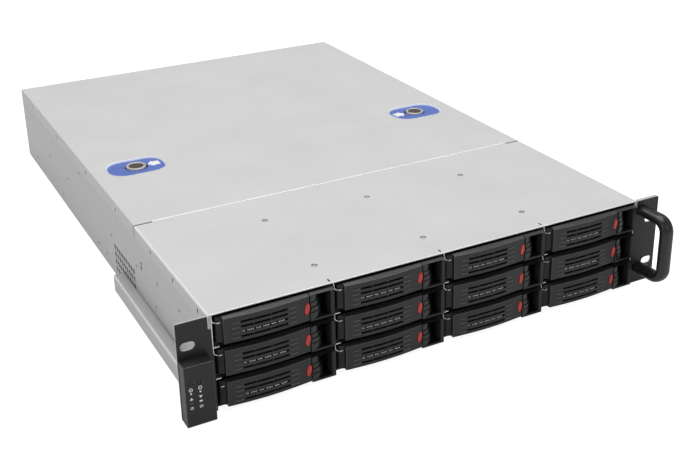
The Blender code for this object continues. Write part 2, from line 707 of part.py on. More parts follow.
def make_fan_rotor():
    """A hub with twisted blades, turning on Y. Its origin is the middle of the rotor."""
    shape = bmesh.new()
    levels = 4
    twist = math.radians(28)
    rings = []
    for level in range(levels):
        part = level / (levels - 1)
        ring = []
        for blade in range(FAN_BLADES):
            root = 2 * math.pi * blade / FAN_BLADES + twist * part
            for radius, offset in ((FAN_HUB_RADIUS, -0.07), (FAN_BLADE_RADIUS, 0.10),
                                   (FAN_BLADE_RADIUS, 0.16), (FAN_HUB_RADIUS, 0.07),
                                   (FAN_HUB_RADIUS, 0.45)):
                angle = root + offset
                place = (radius * math.cos(angle), ROTOR_DEPTH * (part - 0.5), radius * math.sin(angle))
                ring.append(shape.verts.new(place))
        rings.append(ring)
    add_skin(shape, rings)
    return to_mesh(shape, "fan_rotor")


def make_board():
    """The main board on its pillars, with the block of rear ports."""
    right = BOARD_LEFT + BOARD_WIDTH
    back = REAR - 2.5 * MM
    front = back - BOARD_DEPTH
    board = box_mesh("main_board", [((BOARD_LEFT, front, BOARD_Z), (right, back, BOARD_Z + BOARD_THICKNESS))])
    pillars = []
    size = 3 * MM
    for x in (BOARD_LEFT + 10 * MM, BOARD_LEFT + BOARD_WIDTH / 2, right - 10 * MM):
        for y in (front + 10 * MM, back - 30 * MM):
            pillars.append(((x - size, y - size, FLOOR_TOP + GAP), (x + size, y + size, BOARD_Z + MM)))
    ports = box_mesh("ports", [((PORTS_LEFT, REAR - 22 * MM, BOARD_Z + MM),
                                (PORTS_RIGHT, REAR - 0.4 * MM, PORTS_TOP))])
    return join(board, box_mesh("pillars", pillars), ports)


def make_cooler():
    """A finned processor cooler that stands on the main board."""
    width = COOLER_WIDTH
    pitch = width / COOLER_FINS
    base_z = BOARD_Z + BOARD_THICKNESS + GAP
    base_top = base_z + 6 * MM
    top = COOLER_TOP
    outline = [(-width / 2, base_z), (width / 2, base_z)]
    for i in range(COOLER_FINS):
        right = width / 2 - i * pitch
        left = right - COOLER_FIN_THICKNESS
        outline.extend([(right, top), (left, top)])
        if i < COOLER_FINS - 1:
            outline.extend([(left, base_top), (right - pitch, base_top)])
    outline[-1] = (-width / 2, top)
    outline = [(x + COOLER_X, z) for x, z in outline]
    return prism_mesh("processor_cooler", outline, "Y", REAR - 190 * MM, REAR - 100 * MM)


def make_power_supply():
    """One slide-in supply: case, mains inlet and the bow to pull it out by.

    X and Z are measured from the case's middle and underside, Y from the body's rear.
    """
    half = PSU_WIDTH / 2
    case = box_mesh("supply", [((-half, -PSU_DEPTH + 4 * MM, 0.0), (half, GAP, PSU_HEIGHT))])
    inlet = box_mesh("inlet", [((INLET_LEFT, -INLET_DEPTH, INLET_LOW),
                                (INLET_RIGHT, 5 * MM, INLET_HIGH))])
    bar = 5 * MM
    middle = PSU_HEIGHT / 2
    bow = []
    for x in (-32 * MM, -6 * MM):
        bow.append(((x, -MM, middle - bar / 2), (x + bar, PSU_HANDLE_REACH - bar / 2, middle + bar / 2)))
    cross = box_mesh("cross", [((-32.3 * MM, PSU_HANDLE_REACH - bar, middle - bar / 2 - 0.3 * MM),
                                (-0.7 * MM, PSU_HANDLE_REACH, middle + bar / 2 + 0.3 * MM))])
    return join(cut(case, inlet), box_mesh("arms", bow), cross)


# ---------------------------------------------------------------- assembly


def build_case():
    """The case, its covers with their latches, and the duct."""
    place_part("chassis_base", make_chassis(), "steel")
    place_part("front_top_cover", make_cover("front_top_cover", FRONT, FRONT + COVER_SPLIT), "steel")
    slots = [stadium((side * LATCH_X, FRONT + LATCH_V), LATCH_LENGTH, LATCH_WIDTH, 8) for side in (-1, 1)]
    cover = make_cover("rear_top_cover", FRONT + COVER_SPLIT + 0.6 * MM, REAR, slots)
    rear_cover = place_part("rear_top_cover", cover, "steel")
    plate = make_latch_plate()
    button = make_latch_button()
    for side, label in ((-1, "left"), (1, "right")):
        location = (side * LATCH_X, FRONT + LATCH_V, BODY_HEIGHT)
        place_part(f"cover_latch_{label}", plate, "blue_plastic", location, rear_cover)
        place_part(f"cover_button_{label}", button, "chrome", location, rear_cover)
    place_part("cable_channel", make_channel(), "steel")


def build_front():
    """The cage, the trays with their levers and buttons, the ears and what they carry."""
    place_part("drive_cage", make_cage(), "zinc")
    tray_mesh = make_tray()
    lever_mesh = make_lever()
    button_mesh = make_release_button()
    for bay, x, z in bays():
        tray = place_part(f"tray_{bay}", tray_mesh, "black_plastic", (x, FRONT, z))
        pivot = (PIVOT_U - COLUMN_PITCH / 2, PIVOT_V, 0.0)
        lever = place_part(f"lever_{bay}", lever_mesh, "black_plastic", pivot, tray)
        middle = (BUTTON_U - PIVOT_U, (BUTTON_FRONT_V + BUTTON_BACK_V) / 2 - PIVOT_V, 0.0)
        place_part(f"release_button_{bay}", button_mesh, "red_plastic", middle, lever)
    place_part("left_ear", make_ear(-1), "black_paint")
    place_part("right_ear", make_ear(1), "black_paint")
    place_part("front_handle", make_handle(), "black_paint")
    place_part("control_box", make_control_box(), "black_plastic")
    panel_button = make_panel_button()
    button_y = FRONT - BOX_REACH + 0.5 * MM + 2.8 * MM
    place_part("power_button", panel_button, "black_plastic", (POWER_BUTTON_X, button_y, PANEL_BUTTON_Z))
    place_part("reset_button", panel_button, "black_plastic", (RESET_BUTTON_X, button_y, PANEL_BUTTON_Z))


def build_inside():
    """Backplane, fans, main board, cooler and power supplies."""
    place_part("backplane", make_backplane(), "board")
    place_part("fan_wall", make_fan_wall(), "black_plastic")
    rotor = make_fan_rotor()
    for i, x in enumerate(fan_positions()):
        middle = (x, FRONT + FAN_WALL_V + ROTOR_MIDDLE, MIDDLE_ROW_Z)
        place_part(f"fan_rotor_{i + 1}", rotor, "black_plastic", middle)
    place_part("main_board", make_board(), "board")
    place_part("processor_cooler", make_cooler(), "aluminium")
    supply = make_power_supply()
    place_part("power_supply_lower", supply, "zinc", (PSU_X, REAR, PSU_LOW_Z))
    upper_z = PSU_SHELF_Z + SHEET + 0.6 * MM
    place_part("power_supply_upper", supply, "zinc", (PSU_X, REAR, upper_z))


clear_scene()
build_case()
build_front()
build_inside()
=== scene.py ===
"""Looks of a two-unit rack storage server with twelve hot-swap drive bays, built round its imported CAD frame.

Metres, +Z up, the front faces -Y. u is measured from a bay's left edge, v back from the body's front.
"""

import math

import bmesh
import bpy
from mathutils import Matrix, Vector
from mathutils.geometry import tessellate_polygon


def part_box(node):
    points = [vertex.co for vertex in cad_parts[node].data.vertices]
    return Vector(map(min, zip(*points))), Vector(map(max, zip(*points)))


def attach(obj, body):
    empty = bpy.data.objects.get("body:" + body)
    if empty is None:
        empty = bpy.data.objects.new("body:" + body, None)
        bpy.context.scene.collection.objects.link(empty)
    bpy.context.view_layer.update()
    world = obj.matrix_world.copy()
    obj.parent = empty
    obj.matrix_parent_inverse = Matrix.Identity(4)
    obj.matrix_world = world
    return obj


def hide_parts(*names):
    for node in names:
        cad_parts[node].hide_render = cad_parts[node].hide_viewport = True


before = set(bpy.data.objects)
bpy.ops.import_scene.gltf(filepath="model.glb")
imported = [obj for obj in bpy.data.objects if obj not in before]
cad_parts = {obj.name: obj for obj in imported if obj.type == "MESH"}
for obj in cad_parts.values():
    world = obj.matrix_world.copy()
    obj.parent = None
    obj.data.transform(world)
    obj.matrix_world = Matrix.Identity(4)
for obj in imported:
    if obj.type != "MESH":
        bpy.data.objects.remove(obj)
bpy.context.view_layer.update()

MM = 0.001

# ---------------------------------------------------------------- places read from the frame

COVER_LOW, COVER_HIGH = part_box("front_top_cover")
FRONT = COVER_LOW.y
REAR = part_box("rear_top_cover")[1].y
TOP = COVER_HIGH.z
HALF = COVER_HIGH.x
SHEET = 1.0 * MM
GAP = 0.3 * MM
BEND = 1.6 * MM
FLANGE_LOW = COVER_LOW.z
SEAM_FRONT = COVER_HIGH.y
SEAM_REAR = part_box("rear_top_cover")[0].y
BAYS = [f"r{row}c{column}" for row in (1, 2, 3) for column in (1, 2, 3, 4)]
HALF_PITCH = 53.0 * MM


def mm(*values):
    """Values in millimetres, in metres."""
    return tuple(value * MM for value in values)


def span(side, first, second):
    """Two distances from the middle, taken on one side, in rising order."""
    return sorted((side * first, side * second))


def bay_place(bay):
    """The middle of a bay's bezel, on the body's front plane."""
    low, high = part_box(f"tray_{bay}")
    return Vector(((low.x + high.x) / 2, FRONT, (low.z + high.z) / 2))


# ---------------------------------------------------------------- outlines


def arc(centre, radii, start, end, steps):
    """Points along an arc of an ellipse, angles in degrees."""
    points = []
    for i in range(steps + 1):
        angle = math.radians(start + (end - start) * i / steps)
        points.append((centre[0] + radii[0] * math.cos(angle), centre[1] + radii[1] * math.sin(angle)))
    return points


def circle(centre, radius, steps=20):
    """A closed round outline."""
    return arc(centre, (radius, radius), 0, 360 - 360 / steps, steps - 1)


def stadium(centre, length, width, steps=10, upright=False):
    """A closed outline with round ends; upright puts its length on the second axis."""
    reach = (length - width) / 2
    radii = (width / 2, width / 2)
    points = arc((reach, 0.0), radii, -90, 90, steps) + arc((-reach, 0.0), radii, 90, 270, steps)
    if upright:
        points = [(second, first) for first, second in points]
    return [(centre[0] + first, centre[1] + second) for first, second in points]


def rounded(low, high, radius, steps=4):
    """A closed rectangle with round corners."""
    radii = (radius, radius)
    corners = [((high[0] - radius, low[1] + radius), -90), ((high[0] - radius, high[1] - radius), 0),
               ((low[0] + radius, high[1] - radius), 90), ((low[0] + radius, low[1] + radius), 180)]
    points = []
    for centre, start in corners:
        points += arc(centre, radii, start, start + 90, steps)
    return points


def rectangle(low, high):
    """A closed rectangle."""
    return [(low[0], low[1]), (high[0], low[1]), (high[0], high[1]), (low[0], high[1])]


# ---------------------------------------------------------------- mesh tools

ORDER = {"X": (2, 0, 1), "Y": (0, 2, 1), "Z": (0, 1, 2)}


def add_skin(shape, rings, closed=False):
    """Join a row of equal rings; closed joins the last to the first, otherwise the ends are capped."""
    pairs = list(zip(rings, rings[1:]))
    if closed:
        pairs.append((rings[-1], rings[0]))
    for near, far in pairs:
        for i in range(len(near)):
            j = (i + 1) % len(near)
            shape.faces.new((near[i], near[j], far[j], far[i]))
    if not closed:
        shape.faces.new(rings[0])
        shape.faces.new(rings[-1])


def add_layers(shape, layers, axis="Z", closed=False):
    """Join outlines with equal counts, each at its own level along an axis."""
    rings = []
    for outline, level in layers:
        corners = [(first, second, level) for first, second in outline]
        rings.append([shape.verts.new([corner[i] for i in ORDER[axis]]) for corner in corners])
    add_skin(shape, rings, closed)


def add_prism(shape, outline, axis, low, high):
    """Add a straight bar with a flat outline, from low to high along an axis."""
    add_layers(shape, ((outline, low), (outline, high)), axis)


def add_box(shape, low, high):
    """Add a box between two corners."""
    add_prism(shape, rectangle(low[:2], high[:2]), "Z", low[2], high[2])


def add_plate(shape, loops, axis, low, high):
    """Add a flat plate; the first loop is its outline and the others are holes through it."""
    triangles = tessellate_polygon([[Vector((a, b, 0.0)) for a, b in loop] for loop in loops])
    sheets = []
    for level in (low, high):
        corners = [(a, b, level) for loop in loops for a, b in loop]
        sheets.append([shape.verts.new([corner[i] for i in ORDER[axis]]) for corner in corners])
    near, far = sheets
    for a, b, c in triangles:
        shape.faces.new((near[a], near[b], near[c]))
        shape.faces.new((far[c], far[b], far[a]))
    start = 0
    for loop in loops:
        count = len(loop)
        for i in range(count):
            j = (i + 1) % count
            shape.faces.new((near[start + i], near[start + j], far[start + j], far[start + i]))
        start += count


def add_sweep(shape, path, radius, sides=12, squash=1.0):
    """Add a round bar along a path; squash flattens it across the path's own plane."""
    points = [Vector(point) for point in path]
    rings = []
    normal = None
    for i, point in enumerate(points):
        tangent = (points[min(i + 1, len(points) - 1)] - points[max(i - 1, 0)]).normalized()
        if normal is None:
            other = Vector((0.0, 0.0, 1.0)) if abs(tangent.z) < 0.9 else Vector((1.0, 0.0, 0.0))
            normal = tangent.cross(other).normalized()
        normal = (normal - tangent * normal.dot(tangent)).normalized()
        side = tangent.cross(normal)
        ring = []
        for first, second in circle((0.0, 0.0), radius, sides):
            ring.append(shape.verts.new(point + normal * first + side * second * squash))
        rings.append(ring)
    add_skin(shape, rings)


def add_turned(shape, rings, centre, direction):
    """Join rings of points given about +Z, turned to a direction and moved to a centre."""
    turn = Vector((0.0, 0.0, 1.0)).rotation_difference(Vector(direction).normalized()).to_matrix()
    middle = Vector(centre)
    add_skin(shape, [[shape.verts.new(middle + turn @ Vector(point)) for point in ring] for ring in rings])


def add_lathe(shape, profile, centre, direction, steps=24):
    """Turn a profile of (radius, height) about an axis; it starts and ends on the axis or gets caps."""
    rings = []
    for radius, height in profile:
        outline = circle((0.0, 0.0), max(radius, 0.01 * MM), steps)
        rings.append([(first, second, height) for first, second in outline])
    add_turned(shape, rings, centre, direction)


SCREW_SIDES = 16
SCREW_CROSS = 0.36
SCREW_LEVELS = ((1.0, 0.0, False), (1.0, 0.45, False), (0.86, 0.85, False), (0.66, 1.0, False),
                (0.52, 1.0, True), (0.40, 0.45, True))


def add_screw(shape, centre, direction, radius, height):
    """A pan-head screw with a cross recess."""
    rings = []
    for reach, part, crossed in SCREW_LEVELS:
        ring = []
        for i in range(SCREW_SIDES):
            angle = 2 * math.pi * i / SCREW_SIDES
            scale = radius * reach * (SCREW_CROSS if crossed and i % 4 else 1.0)
            ring.append((scale * math.cos(angle), scale * math.sin(angle), height * part))
        rings.append(ring)
    add_turned(shape, rings, centre, direction)


def to_mesh(shape, name, material=None, bevel=0.0, segments=2, limit=30.0, smooth=50.0, edging=None):
    """Close a bmesh into a mesh: faces out, edges over the limit rounded, round faces smooth; given edging,
    the rounded faces take that lighter colour as a painted highlight.
    """
    bmesh.ops.recalc_face_normals(shape, faces=shape.faces)
    if bevel:
        edges = [edge for edge in shape.edges
                 if len(edge.link_faces) == 2 and edge.calc_face_angle(0.0) > math.radians(limit)]
        rounded_off = bmesh.ops.bevel(shape, geom=edges, offset=bevel, segments=segments, affect="EDGES",
                                      profile=0.5, clamp_overlap=True)
        # The rounded faces take the second material when there is one: a painted highlight along the edges.
        for face in rounded_off["faces"]:
            face.material_index = 1 if edging else 0
    mesh = bpy.data.meshes.new(name)
    shape.to_mesh(mesh)
    shape.free()
    for finish in (material, edging):
        if finish:
            mesh.materials.append(finish)
    mesh.shade_smooth()
    mesh.set_sharp_from_angle(angle=math.radians(smooth))
    return mesh


def cut(mesh, *tools, operation="DIFFERENCE"):
    """A mesh with other meshes cut away, or joined to it."""
    for tool in tools:
        body = bpy.data.objects.new("body", mesh)
        cutter = bpy.data.objects.new("cutter", tool)
        for item in (body, cutter):
            bpy.context.scene.collection.objects.link(item)
        boolean = body.modifiers.new("boolean", "BOOLEAN")
        boolean.object = cutter
        boolean.operation = operation
        graph = bpy.context.evaluated_depsgraph_get()
        result = bpy.data.meshes.new_from_object(body.evaluated_get(graph))
        bpy.data.objects.remove(body, do_unlink=True)
        bpy.data.objects.remove(cutter, do_unlink=True)
        bpy.data.meshes.remove(tool)
        mesh = result
    return mesh


def rework(mesh, name, material, bevel, segments=2, limit=30.0, edging=None):
    """Round the edges of a cut mesh."""
    shape = bmesh.new()
    shape.from_mesh(mesh)
    return to_mesh(shape, name, material, bevel, segments, limit, edging=edging)


def prism_mesh(outline, axis, low, high):
    """A mesh with one straight bar in it."""
    shape = bmesh.new()
    add_prism(shape, outline, axis, low, high)
    return to_mesh(shape, "tool")


def box_mesh(boxes):
    """A mesh of boxes, each given by its low and its high corner."""
    shape = bmesh.new()
    for low, high in boxes:
        add_box(shape, low, high)
    return to_mesh(shape, "tool")


def put(name, mesh, body, stands_for=(), at=(0.0, 0.0, 0.0)):
    """Place a piece, let it ride on a body, and hide the CAD nodes it stands for."""
    item = bpy.data.objects.new(name, mesh)
    bpy.context.scene.collection.objects.link(item)
    item.location = at
    normals = item.modifiers.new("normals", "WEIGHTED_NORMAL")
    normals.keep_sharp = True
    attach(item, body)
    if stands_for:
        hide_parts(*stands_for)


def finish_piece(shape, name, material, body="chassis", slot="case_steel", stands_for=(), **edges):
    """Close a shape and place it as a piece; edges tells to_mesh how to round it."""
    put(name, to_mesh(shape, name, material, **edges), body, stands_for)


# ---------------------------------------------------------------- materials

# A colour Mix node's inputs A and B and its result, which share their names with its other kinds.
MIX_A, MIX_B, MIX_RESULT = 6, 7, 2
RELIEF_DEPTH = 0.06 * MM
DUST_COLOUR = (0.45, 0.45, 0.44)


def add_node(tree, kind, **values):
    """Add a node and set its inputs and settings."""
    node = tree.nodes.new(kind)
    for key, value in values.items():
        if key in node.inputs:
            node.inputs[key].default_value = value
        else:
            setattr(node, key, value)
    return node


def add_ramp(tree, source, low, high, start, end):
    """Spread a value's range low to high over start to end."""
    ramp = add_node(tree, "ShaderNodeMapRange",
                    **{"From Min": low, "From Max": high, "To Min": start, "To Max": end})
    tree.links.new(source, ramp.inputs["Value"])
    return ramp.outputs["Result"]


def add_tint(tree, factor, below, colour):
    """Lay a plain colour over another one by a factor."""
    tint = add_node(tree, "ShaderNodeMix", data_type="RGBA")
    tint.inputs[MIX_B].default_value = (*colour, 1.0)
    tree.links.new(factor, tint.inputs["Factor"])
    tree.links.new(below, tint.inputs[MIX_A])
    return tint.outputs[MIX_RESULT]


def make_finish(name, colour, roughness, metallic=0.0, mottle=0.06, mottle_scale=30.0, speck=0.05,
                grain=1800.0, bump=0.15, stretch=(1.0, 1.0, 1.0), edge_wear_and_highlight=0.0, uneven=0.06, coat=0.0,
                dust=0.0, specular=0.5):
    """A finish with slow and fine colour variation, uneven gloss, a grain in relief and lighter convex edges,
    which stand partly for wear and partly for a painted highlight.
    """
    material = bpy.data.materials.new(name)
    material.use_nodes = True
    tree = material.node_tree
    link = tree.links.new
    shader = tree.nodes["Principled BSDF"]
    place = add_node(tree, "ShaderNodeTexCoord")
    mapping = add_node(tree, "ShaderNodeMapping", Scale=stretch)
    link(place.outputs["Object"], mapping.inputs["Vector"])
    slow = add_node(tree, "ShaderNodeTexNoise", Scale=mottle_scale, Detail=4.0, Roughness=0.6)
    fine = add_node(tree, "ShaderNodeTexNoise", Scale=grain, Detail=3.0, Roughness=0.55)
    for noise in (slow, fine):
        link(mapping.outputs["Vector"], noise.inputs["Vector"])
    base = add_node(tree, "ShaderNodeMix", data_type="RGBA")
    base.inputs[MIX_A].default_value = (*[channel * (1.0 - mottle) for channel in colour], 1.0)
    base.inputs[MIX_B].default_value = (*[min(channel * (1.0 + mottle), 1.0) for channel in colour], 1.0)
    link(add_ramp(tree, slow.outputs["Fac"], 0.32, 0.68, 0.0, 1.0), base.inputs["Factor"])
    specks = add_node(tree, "ShaderNodeVectorMath", operation="SCALE")
    link(base.outputs[MIX_RESULT], specks.inputs[0])
    link(add_ramp(tree, fine.outputs["Fac"], 0.3, 0.7, 1.0 - speck, 1.0 + speck), specks.inputs["Scale"])
    surface = specks.outputs["Vector"]
    # Convex edges lightened by pointiness: partly wear, partly a painted highlight.
    if edge_wear_and_highlight:
        edges = add_node(tree, "ShaderNodeNewGeometry").outputs["Pointiness"]
        bright = [min(channel * 2.2 + 0.04, 0.9) for channel in colour]
        surface = add_tint(tree, add_ramp(tree, edges, 0.53, 0.66, 0.0, edge_wear_and_highlight), surface, bright)
    if dust:
        facing = add_node(tree, "ShaderNodeNewGeometry")
        split = add_node(tree, "ShaderNodeSeparateXYZ")
        link(facing.outputs["Normal"], split.inputs["Vector"])
        patch = add_node(tree, "ShaderNodeTexNoise", Scale=60.0, Detail=5.0)
        link(place.outputs["Object"], patch.inputs["Vector"])
        settled = add_node(tree, "ShaderNodeMath", operation="MULTIPLY", use_clamp=True)
        link(split.outputs["Z"], settled.inputs[0])
        link(patch.outputs["Fac"], settled.inputs[1])
        amount = add_node(tree, "ShaderNodeMath", operation="MULTIPLY")
        amount.inputs[1].default_value = dust
        link(settled.outputs["Value"], amount.inputs[0])
        surface = add_tint(tree, amount.outputs["Value"], surface, DUST_COLOUR)
    link(surface, shader.inputs["Base Color"])
    gloss = add_ramp(tree, slow.outputs["Fac"], 0.3, 0.7, max(roughness - uneven, 0.02), roughness + uneven)
    link(gloss, shader.inputs["Roughness"])
    relief = add_node(tree, "ShaderNodeBump", Strength=bump, Distance=RELIEF_DEPTH)
    link(fine.outputs["Fac"], relief.inputs["Height"])
    link(relief.outputs["Normal"], shader.inputs["Normal"])
    for socket, value in (("Metallic", metallic), ("Coat Weight", coat), ("Specular IOR Level", specular)):
        shader.inputs[socket].default_value = value
    return material


STEEL = make_finish("case_steel", (0.615, 0.615, 0.610), 0.46, 0.12, mottle=0.018, mottle_scale=14.0,
                    speck=0.035, grain=900.0, bump=0.22, uneven=0.03)
# A darker copy of the case steel for the shell, duct, ear plates and rear wall: painted shade, as these are
# the same steel as the covers.
SHADED_STEEL = make_finish("shaded_steel", (0.560, 0.560, 0.556), 0.44, 0.25, mottle=0.03, mottle_scale=10.0,
                         speck=0.03, grain=900.0, bump=0.20, uneven=0.04, stretch=(1.0, 0.6, 1.6))
# A lighter, glossier copy of the case steel for the front cover's bends, the seam's hem, the front lip and the
# duct's bend: a painted highlight.
HIGHLIGHT_STEEL = make_finish("highlight_steel", (0.86, 0.86, 0.855), 0.30, 0.10, mottle=0.02, speck=0.02, bump=0.05)
ZINC = make_finish("cage_zinc", (0.74, 0.75, 0.76), 0.28, 0.92, mottle=0.10, mottle_scale=70.0,
                   speck=0.05, grain=700.0, bump=0.12, uneven=0.10)
# A pale zinc: painted highlights on the cage's edges and a painted glint in the slots; the clip and spring
# wires take it too, bright partly as their own metal and partly as painted highlight.
HIGHLIGHT_ZINC = make_finish("highlight_zinc", (0.86, 0.86, 0.87), 0.24, 0.55, mottle=0.05, mottle_scale=120.0,
                        speck=0.03, bump=0.05)
EAR_PAINT = make_finish("ear_paint", (0.017, 0.017, 0.0183), 0.42, mottle=0.15, mottle_scale=25.0,
                        speck=0.12, grain=1100.0, bump=0.30, dust=0.02, specular=0.38)
# A lighter black for the rounded edges of the ear faces and the control box: a painted highlight.
EAR_EDGE_HIGHLIGHT = make_finish("ear_edge_highlight", (0.075, 0.075, 0.078), 0.38, mottle=0.20, mottle_scale=90.0,
                       speck=0.10, bump=0.20, specular=0.45)
HANDLE_PAINT = make_finish("handle_paint", (0.015, 0.015, 0.016), 0.30, mottle=0.12, mottle_scale=30.0,
                           speck=0.08, grain=1300.0, bump=0.10, dust=0.01, specular=0.45)
BLACK = make_finish("bezel_black", (0.025, 0.025, 0.0262), 0.38, mottle=0.12, mottle_scale=40.0,
                    speck=0.12, grain=1500.0, bump=0.35, dust=0.02, specular=0.36)
# A lighter black for the rounded edges of the levers and bezels and for the slots' ribs: a painted highlight.
BLACK_EDGE_HIGHLIGHT = make_finish("bezel_edge_highlight", (0.085, 0.085, 0.088), 0.34, mottle=0.25, mottle_scale=160.0,
                         speck=0.10, bump=0.15, specular=0.45)
# A dull near-black: painted shade in slots, the seam, vents, wells, the bay recess, between the guard's fins
# and behind the supply faces; it is also the own colour of the chips, port mouths and mains inlet.
BLACK_AND_SHADE = make_finish("black_and_shade", (0.006, 0.006, 0.0065), 0.65, mottle=0.15, mottle_scale=60.0,
                         speck=0.10, grain=1500.0, bump=0.20, specular=0.12)
# A darker copy of the bays' black plastic for the bezel frame, the hinge barrel and the slot ties: painted
# shade.
SHADED_BLACK = make_finish("shaded_black", (0.018, 0.018, 0.019), 0.34, mottle=0.20, mottle_scale=60.0,
                          speck=0.12, grain=1500.0, bump=0.25, specular=0.30)
GUARD_BLACK = make_finish("guard_black", (0.024, 0.024, 0.025), 0.24, mottle=0.20, mottle_scale=60.0,
                          speck=0.08, grain=1500.0, bump=0.12, specular=0.40)
RED = make_finish("button_red", (0.50, 0.040, 0.032), 0.30, mottle=0.06, mottle_scale=90.0, speck=0.03,
                  grain=1500.0, bump=0.08)
BLUE = make_finish("latch_blue", (0.090, 0.155, 0.490), 0.34, mottle=0.05, mottle_scale=50.0, speck=0.04,
                   grain=1300.0, bump=0.15)
# A darker copy of the latch blue for the groove round the plate: painted shade in the groove.
BLUE_GROOVE_SHADE = make_finish("latch_blue_groove_shade", (0.045, 0.075, 0.330), 0.45, mottle=0.06, speck=0.04, bump=0.10)
LATCH_RIM = make_finish("latch_rim", (0.82, 0.88, 1.0), 0.35, mottle=0.04, mottle_scale=90.0, speck=0.03,
                        bump=0.08)
RIVET = make_finish("rivet_steel", (0.33, 0.33, 0.33), 0.42, 0.35, mottle=0.15, mottle_scale=200.0,
                    speck=0.08, bump=0.20)
CHROME = make_finish("button_chrome", (0.80, 0.79, 0.77), 0.24, 0.85, mottle=0.05, mottle_scale=90.0,
                     speck=0.02, bump=0.05)
RING = make_finish("button_ring", (0.60, 0.58, 0.55), 0.36, 0.45, mottle=0.08, mottle_scale=120.0, speck=0.04,
                   bump=0.10)
KEY_BROWN = make_finish("button_core", (0.055, 0.038, 0.034), 0.42, mottle=0.15, mottle_scale=120.0,
                        speck=0.08, bump=0.20)
WHITE = make_finish("white_print", (0.80, 0.80, 0.80), 0.50, mottle=0.03, mottle_scale=200.0, speck=0.04,
                    bump=0.05)
LAMP_RED = make_finish("lamp_red", (0.22, 0.015, 0.015), 0.25, mottle=0.10, speck=0.03, bump=0.03, coat=0.5)
BOARD = make_finish("board_green", (0.012, 0.105, 0.045), 0.40, mottle=0.18, mottle_scale=160.0,
                    speck=0.10, grain=500.0, bump=0.20)
FAN = make_finish("fan_black", (0.022, 0.022, 0.023), 0.48, mottle=0.08, speck=0.06, bump=0.20, dust=0.05)
ALUMINIUM = make_finish("cooler_aluminium", (0.76, 0.77, 0.78), 0.30, 1.0, mottle=0.05,
                        mottle_scale=60.0, speck=0.05, grain=900.0, bump=0.15, stretch=(1.0, 8.0, 1.0))
CAST = make_finish("drive_cast", (0.30, 0.31, 0.32), 0.46, 0.85, mottle=0.10, mottle_scale=60.0,
                   speck=0.08, grain=1000.0, bump=0.30, edge_wear_and_highlight=0.20)
SUPPLY = make_finish("supply_zinc", (0.64, 0.65, 0.66), 0.34, 0.80, mottle=0.08, mottle_scale=60.0,
                     speck=0.05, grain=800.0, bump=0.15, uneven=0.08)
PORT_BLUE = make_finish("port_blue", (0.020, 0.070, 0.380), 0.40, mottle=0.06, speck=0.05, bump=0.10)
LAMP_GREEN = make_finish("lamp_green", (0.05, 0.32, 0.08), 0.22, mottle=0.08, speck=0.03, bump=0.03,
                         coat=0.5)


def refinish(node, material):
    """Give a CAD node that stays in view its finish."""
    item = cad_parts[node]
    item.data.materials.clear()
    item.data.materials.append(material)


# ---------------------------------------------------------------- camera, light and floor

CAMERA_PLACE = (-0.45099, -1.00833, 0.50239)
CAMERA_AZIMUTH = 27.715
CAMERA_PITCH = 21.541
CAMERA_ROLL = -1.016
CAMERA_LENS = 55.238
SKY_LIGHT = 0.32
OVERHEAD_POWER = 59.0
FRONT_POWER = 3.0
SPARKLE_POWER = 4.5
FLOOR_GLOW = 0.35
FLOOR_WHITE = 0.9
WHITE_LIGHT = (1.0, 1.0, 1.0, 1.0)
FLOOR_GREY = (0.42, 0.42, 0.42, 1.0)
FLOOR_REACH = 12.0
FLOOR_DROP = 0.2 * MM


def set_camera():
    """The camera at the object's left front, a little above it."""
    azimuth, pitch, roll = (math.radians(v) for v in (CAMERA_AZIMUTH, CAMERA_PITCH, CAMERA_ROLL))
    ahead = Vector((math.sin(azimuth) * math.cos(pitch), math.cos(azimuth) * math.cos(pitch),
                    -math.sin(pitch)))
    level = Vector((math.cos(azimuth), -math.sin(azimuth), 0.0))
    upright = level.cross(ahead)
    right = level * math.cos(roll) + upright * math.sin(roll)
    up = right.cross(ahead)
    data = bpy.data.cameras.new("camera")
    data.lens = CAMERA_LENS
    data.sensor_width = 36.0
    data.shift_y = -0.1
    data.clip_start = 0.01
    data.dof.use_dof = False
    camera = bpy.data.objects.new("camera", data)
    bpy.context.scene.collection.objects.link(camera)
    turn = Matrix((right, up, -ahead)).transposed()
    camera.matrix_world = Matrix.Translation(CAMERA_PLACE) @ turn.to_4x4()
    bpy.context.scene.camera = camera


def add_light(name, place, target, size, power):
    """A soft rectangular light that looks at a point."""
    data = bpy.data.lights.new(name, "AREA")
    data.shape = "RECTANGLE"
    data.size, data.size_y = size
    data.energy = power
    lamp = bpy.data.objects.new(name, data)
    bpy.context.scene.collection.objects.link(lamp)
    lamp.location = place
    lamp.rotation_euler = (Vector(target) - Vector(place)).to_track_quat("-Z", "Y").to_euler()


def set_sky():
    """An even sky that lights softly and looks white behind the object."""
    world = bpy.data.worlds.new("studio")
    world.use_nodes = True
    tree = world.node_tree
    sky = tree.nodes["Background"]
    sky.inputs["Color"].default_value = WHITE_LIGHT
    sky.inputs["Strength"].default_value = SKY_LIGHT
    backdrop = add_node(tree, "ShaderNodeBackground", Color=WHITE_LIGHT)
    choice = add_node(tree, "ShaderNodeMixShader")
    rays = add_node(tree, "ShaderNodeLightPath")
    tree.links.new(rays.outputs["Is Camera Ray"], choice.inputs["Fac"])
    tree.links.new(sky.outputs["Background"], choice.inputs[1])
    tree.links.new(backdrop.outputs["Background"], choice.inputs[2])
    tree.links.new(choice.outputs["Shader"], tree.nodes["World Output"].inputs["Surface"])
    bpy.context.scene.world = world


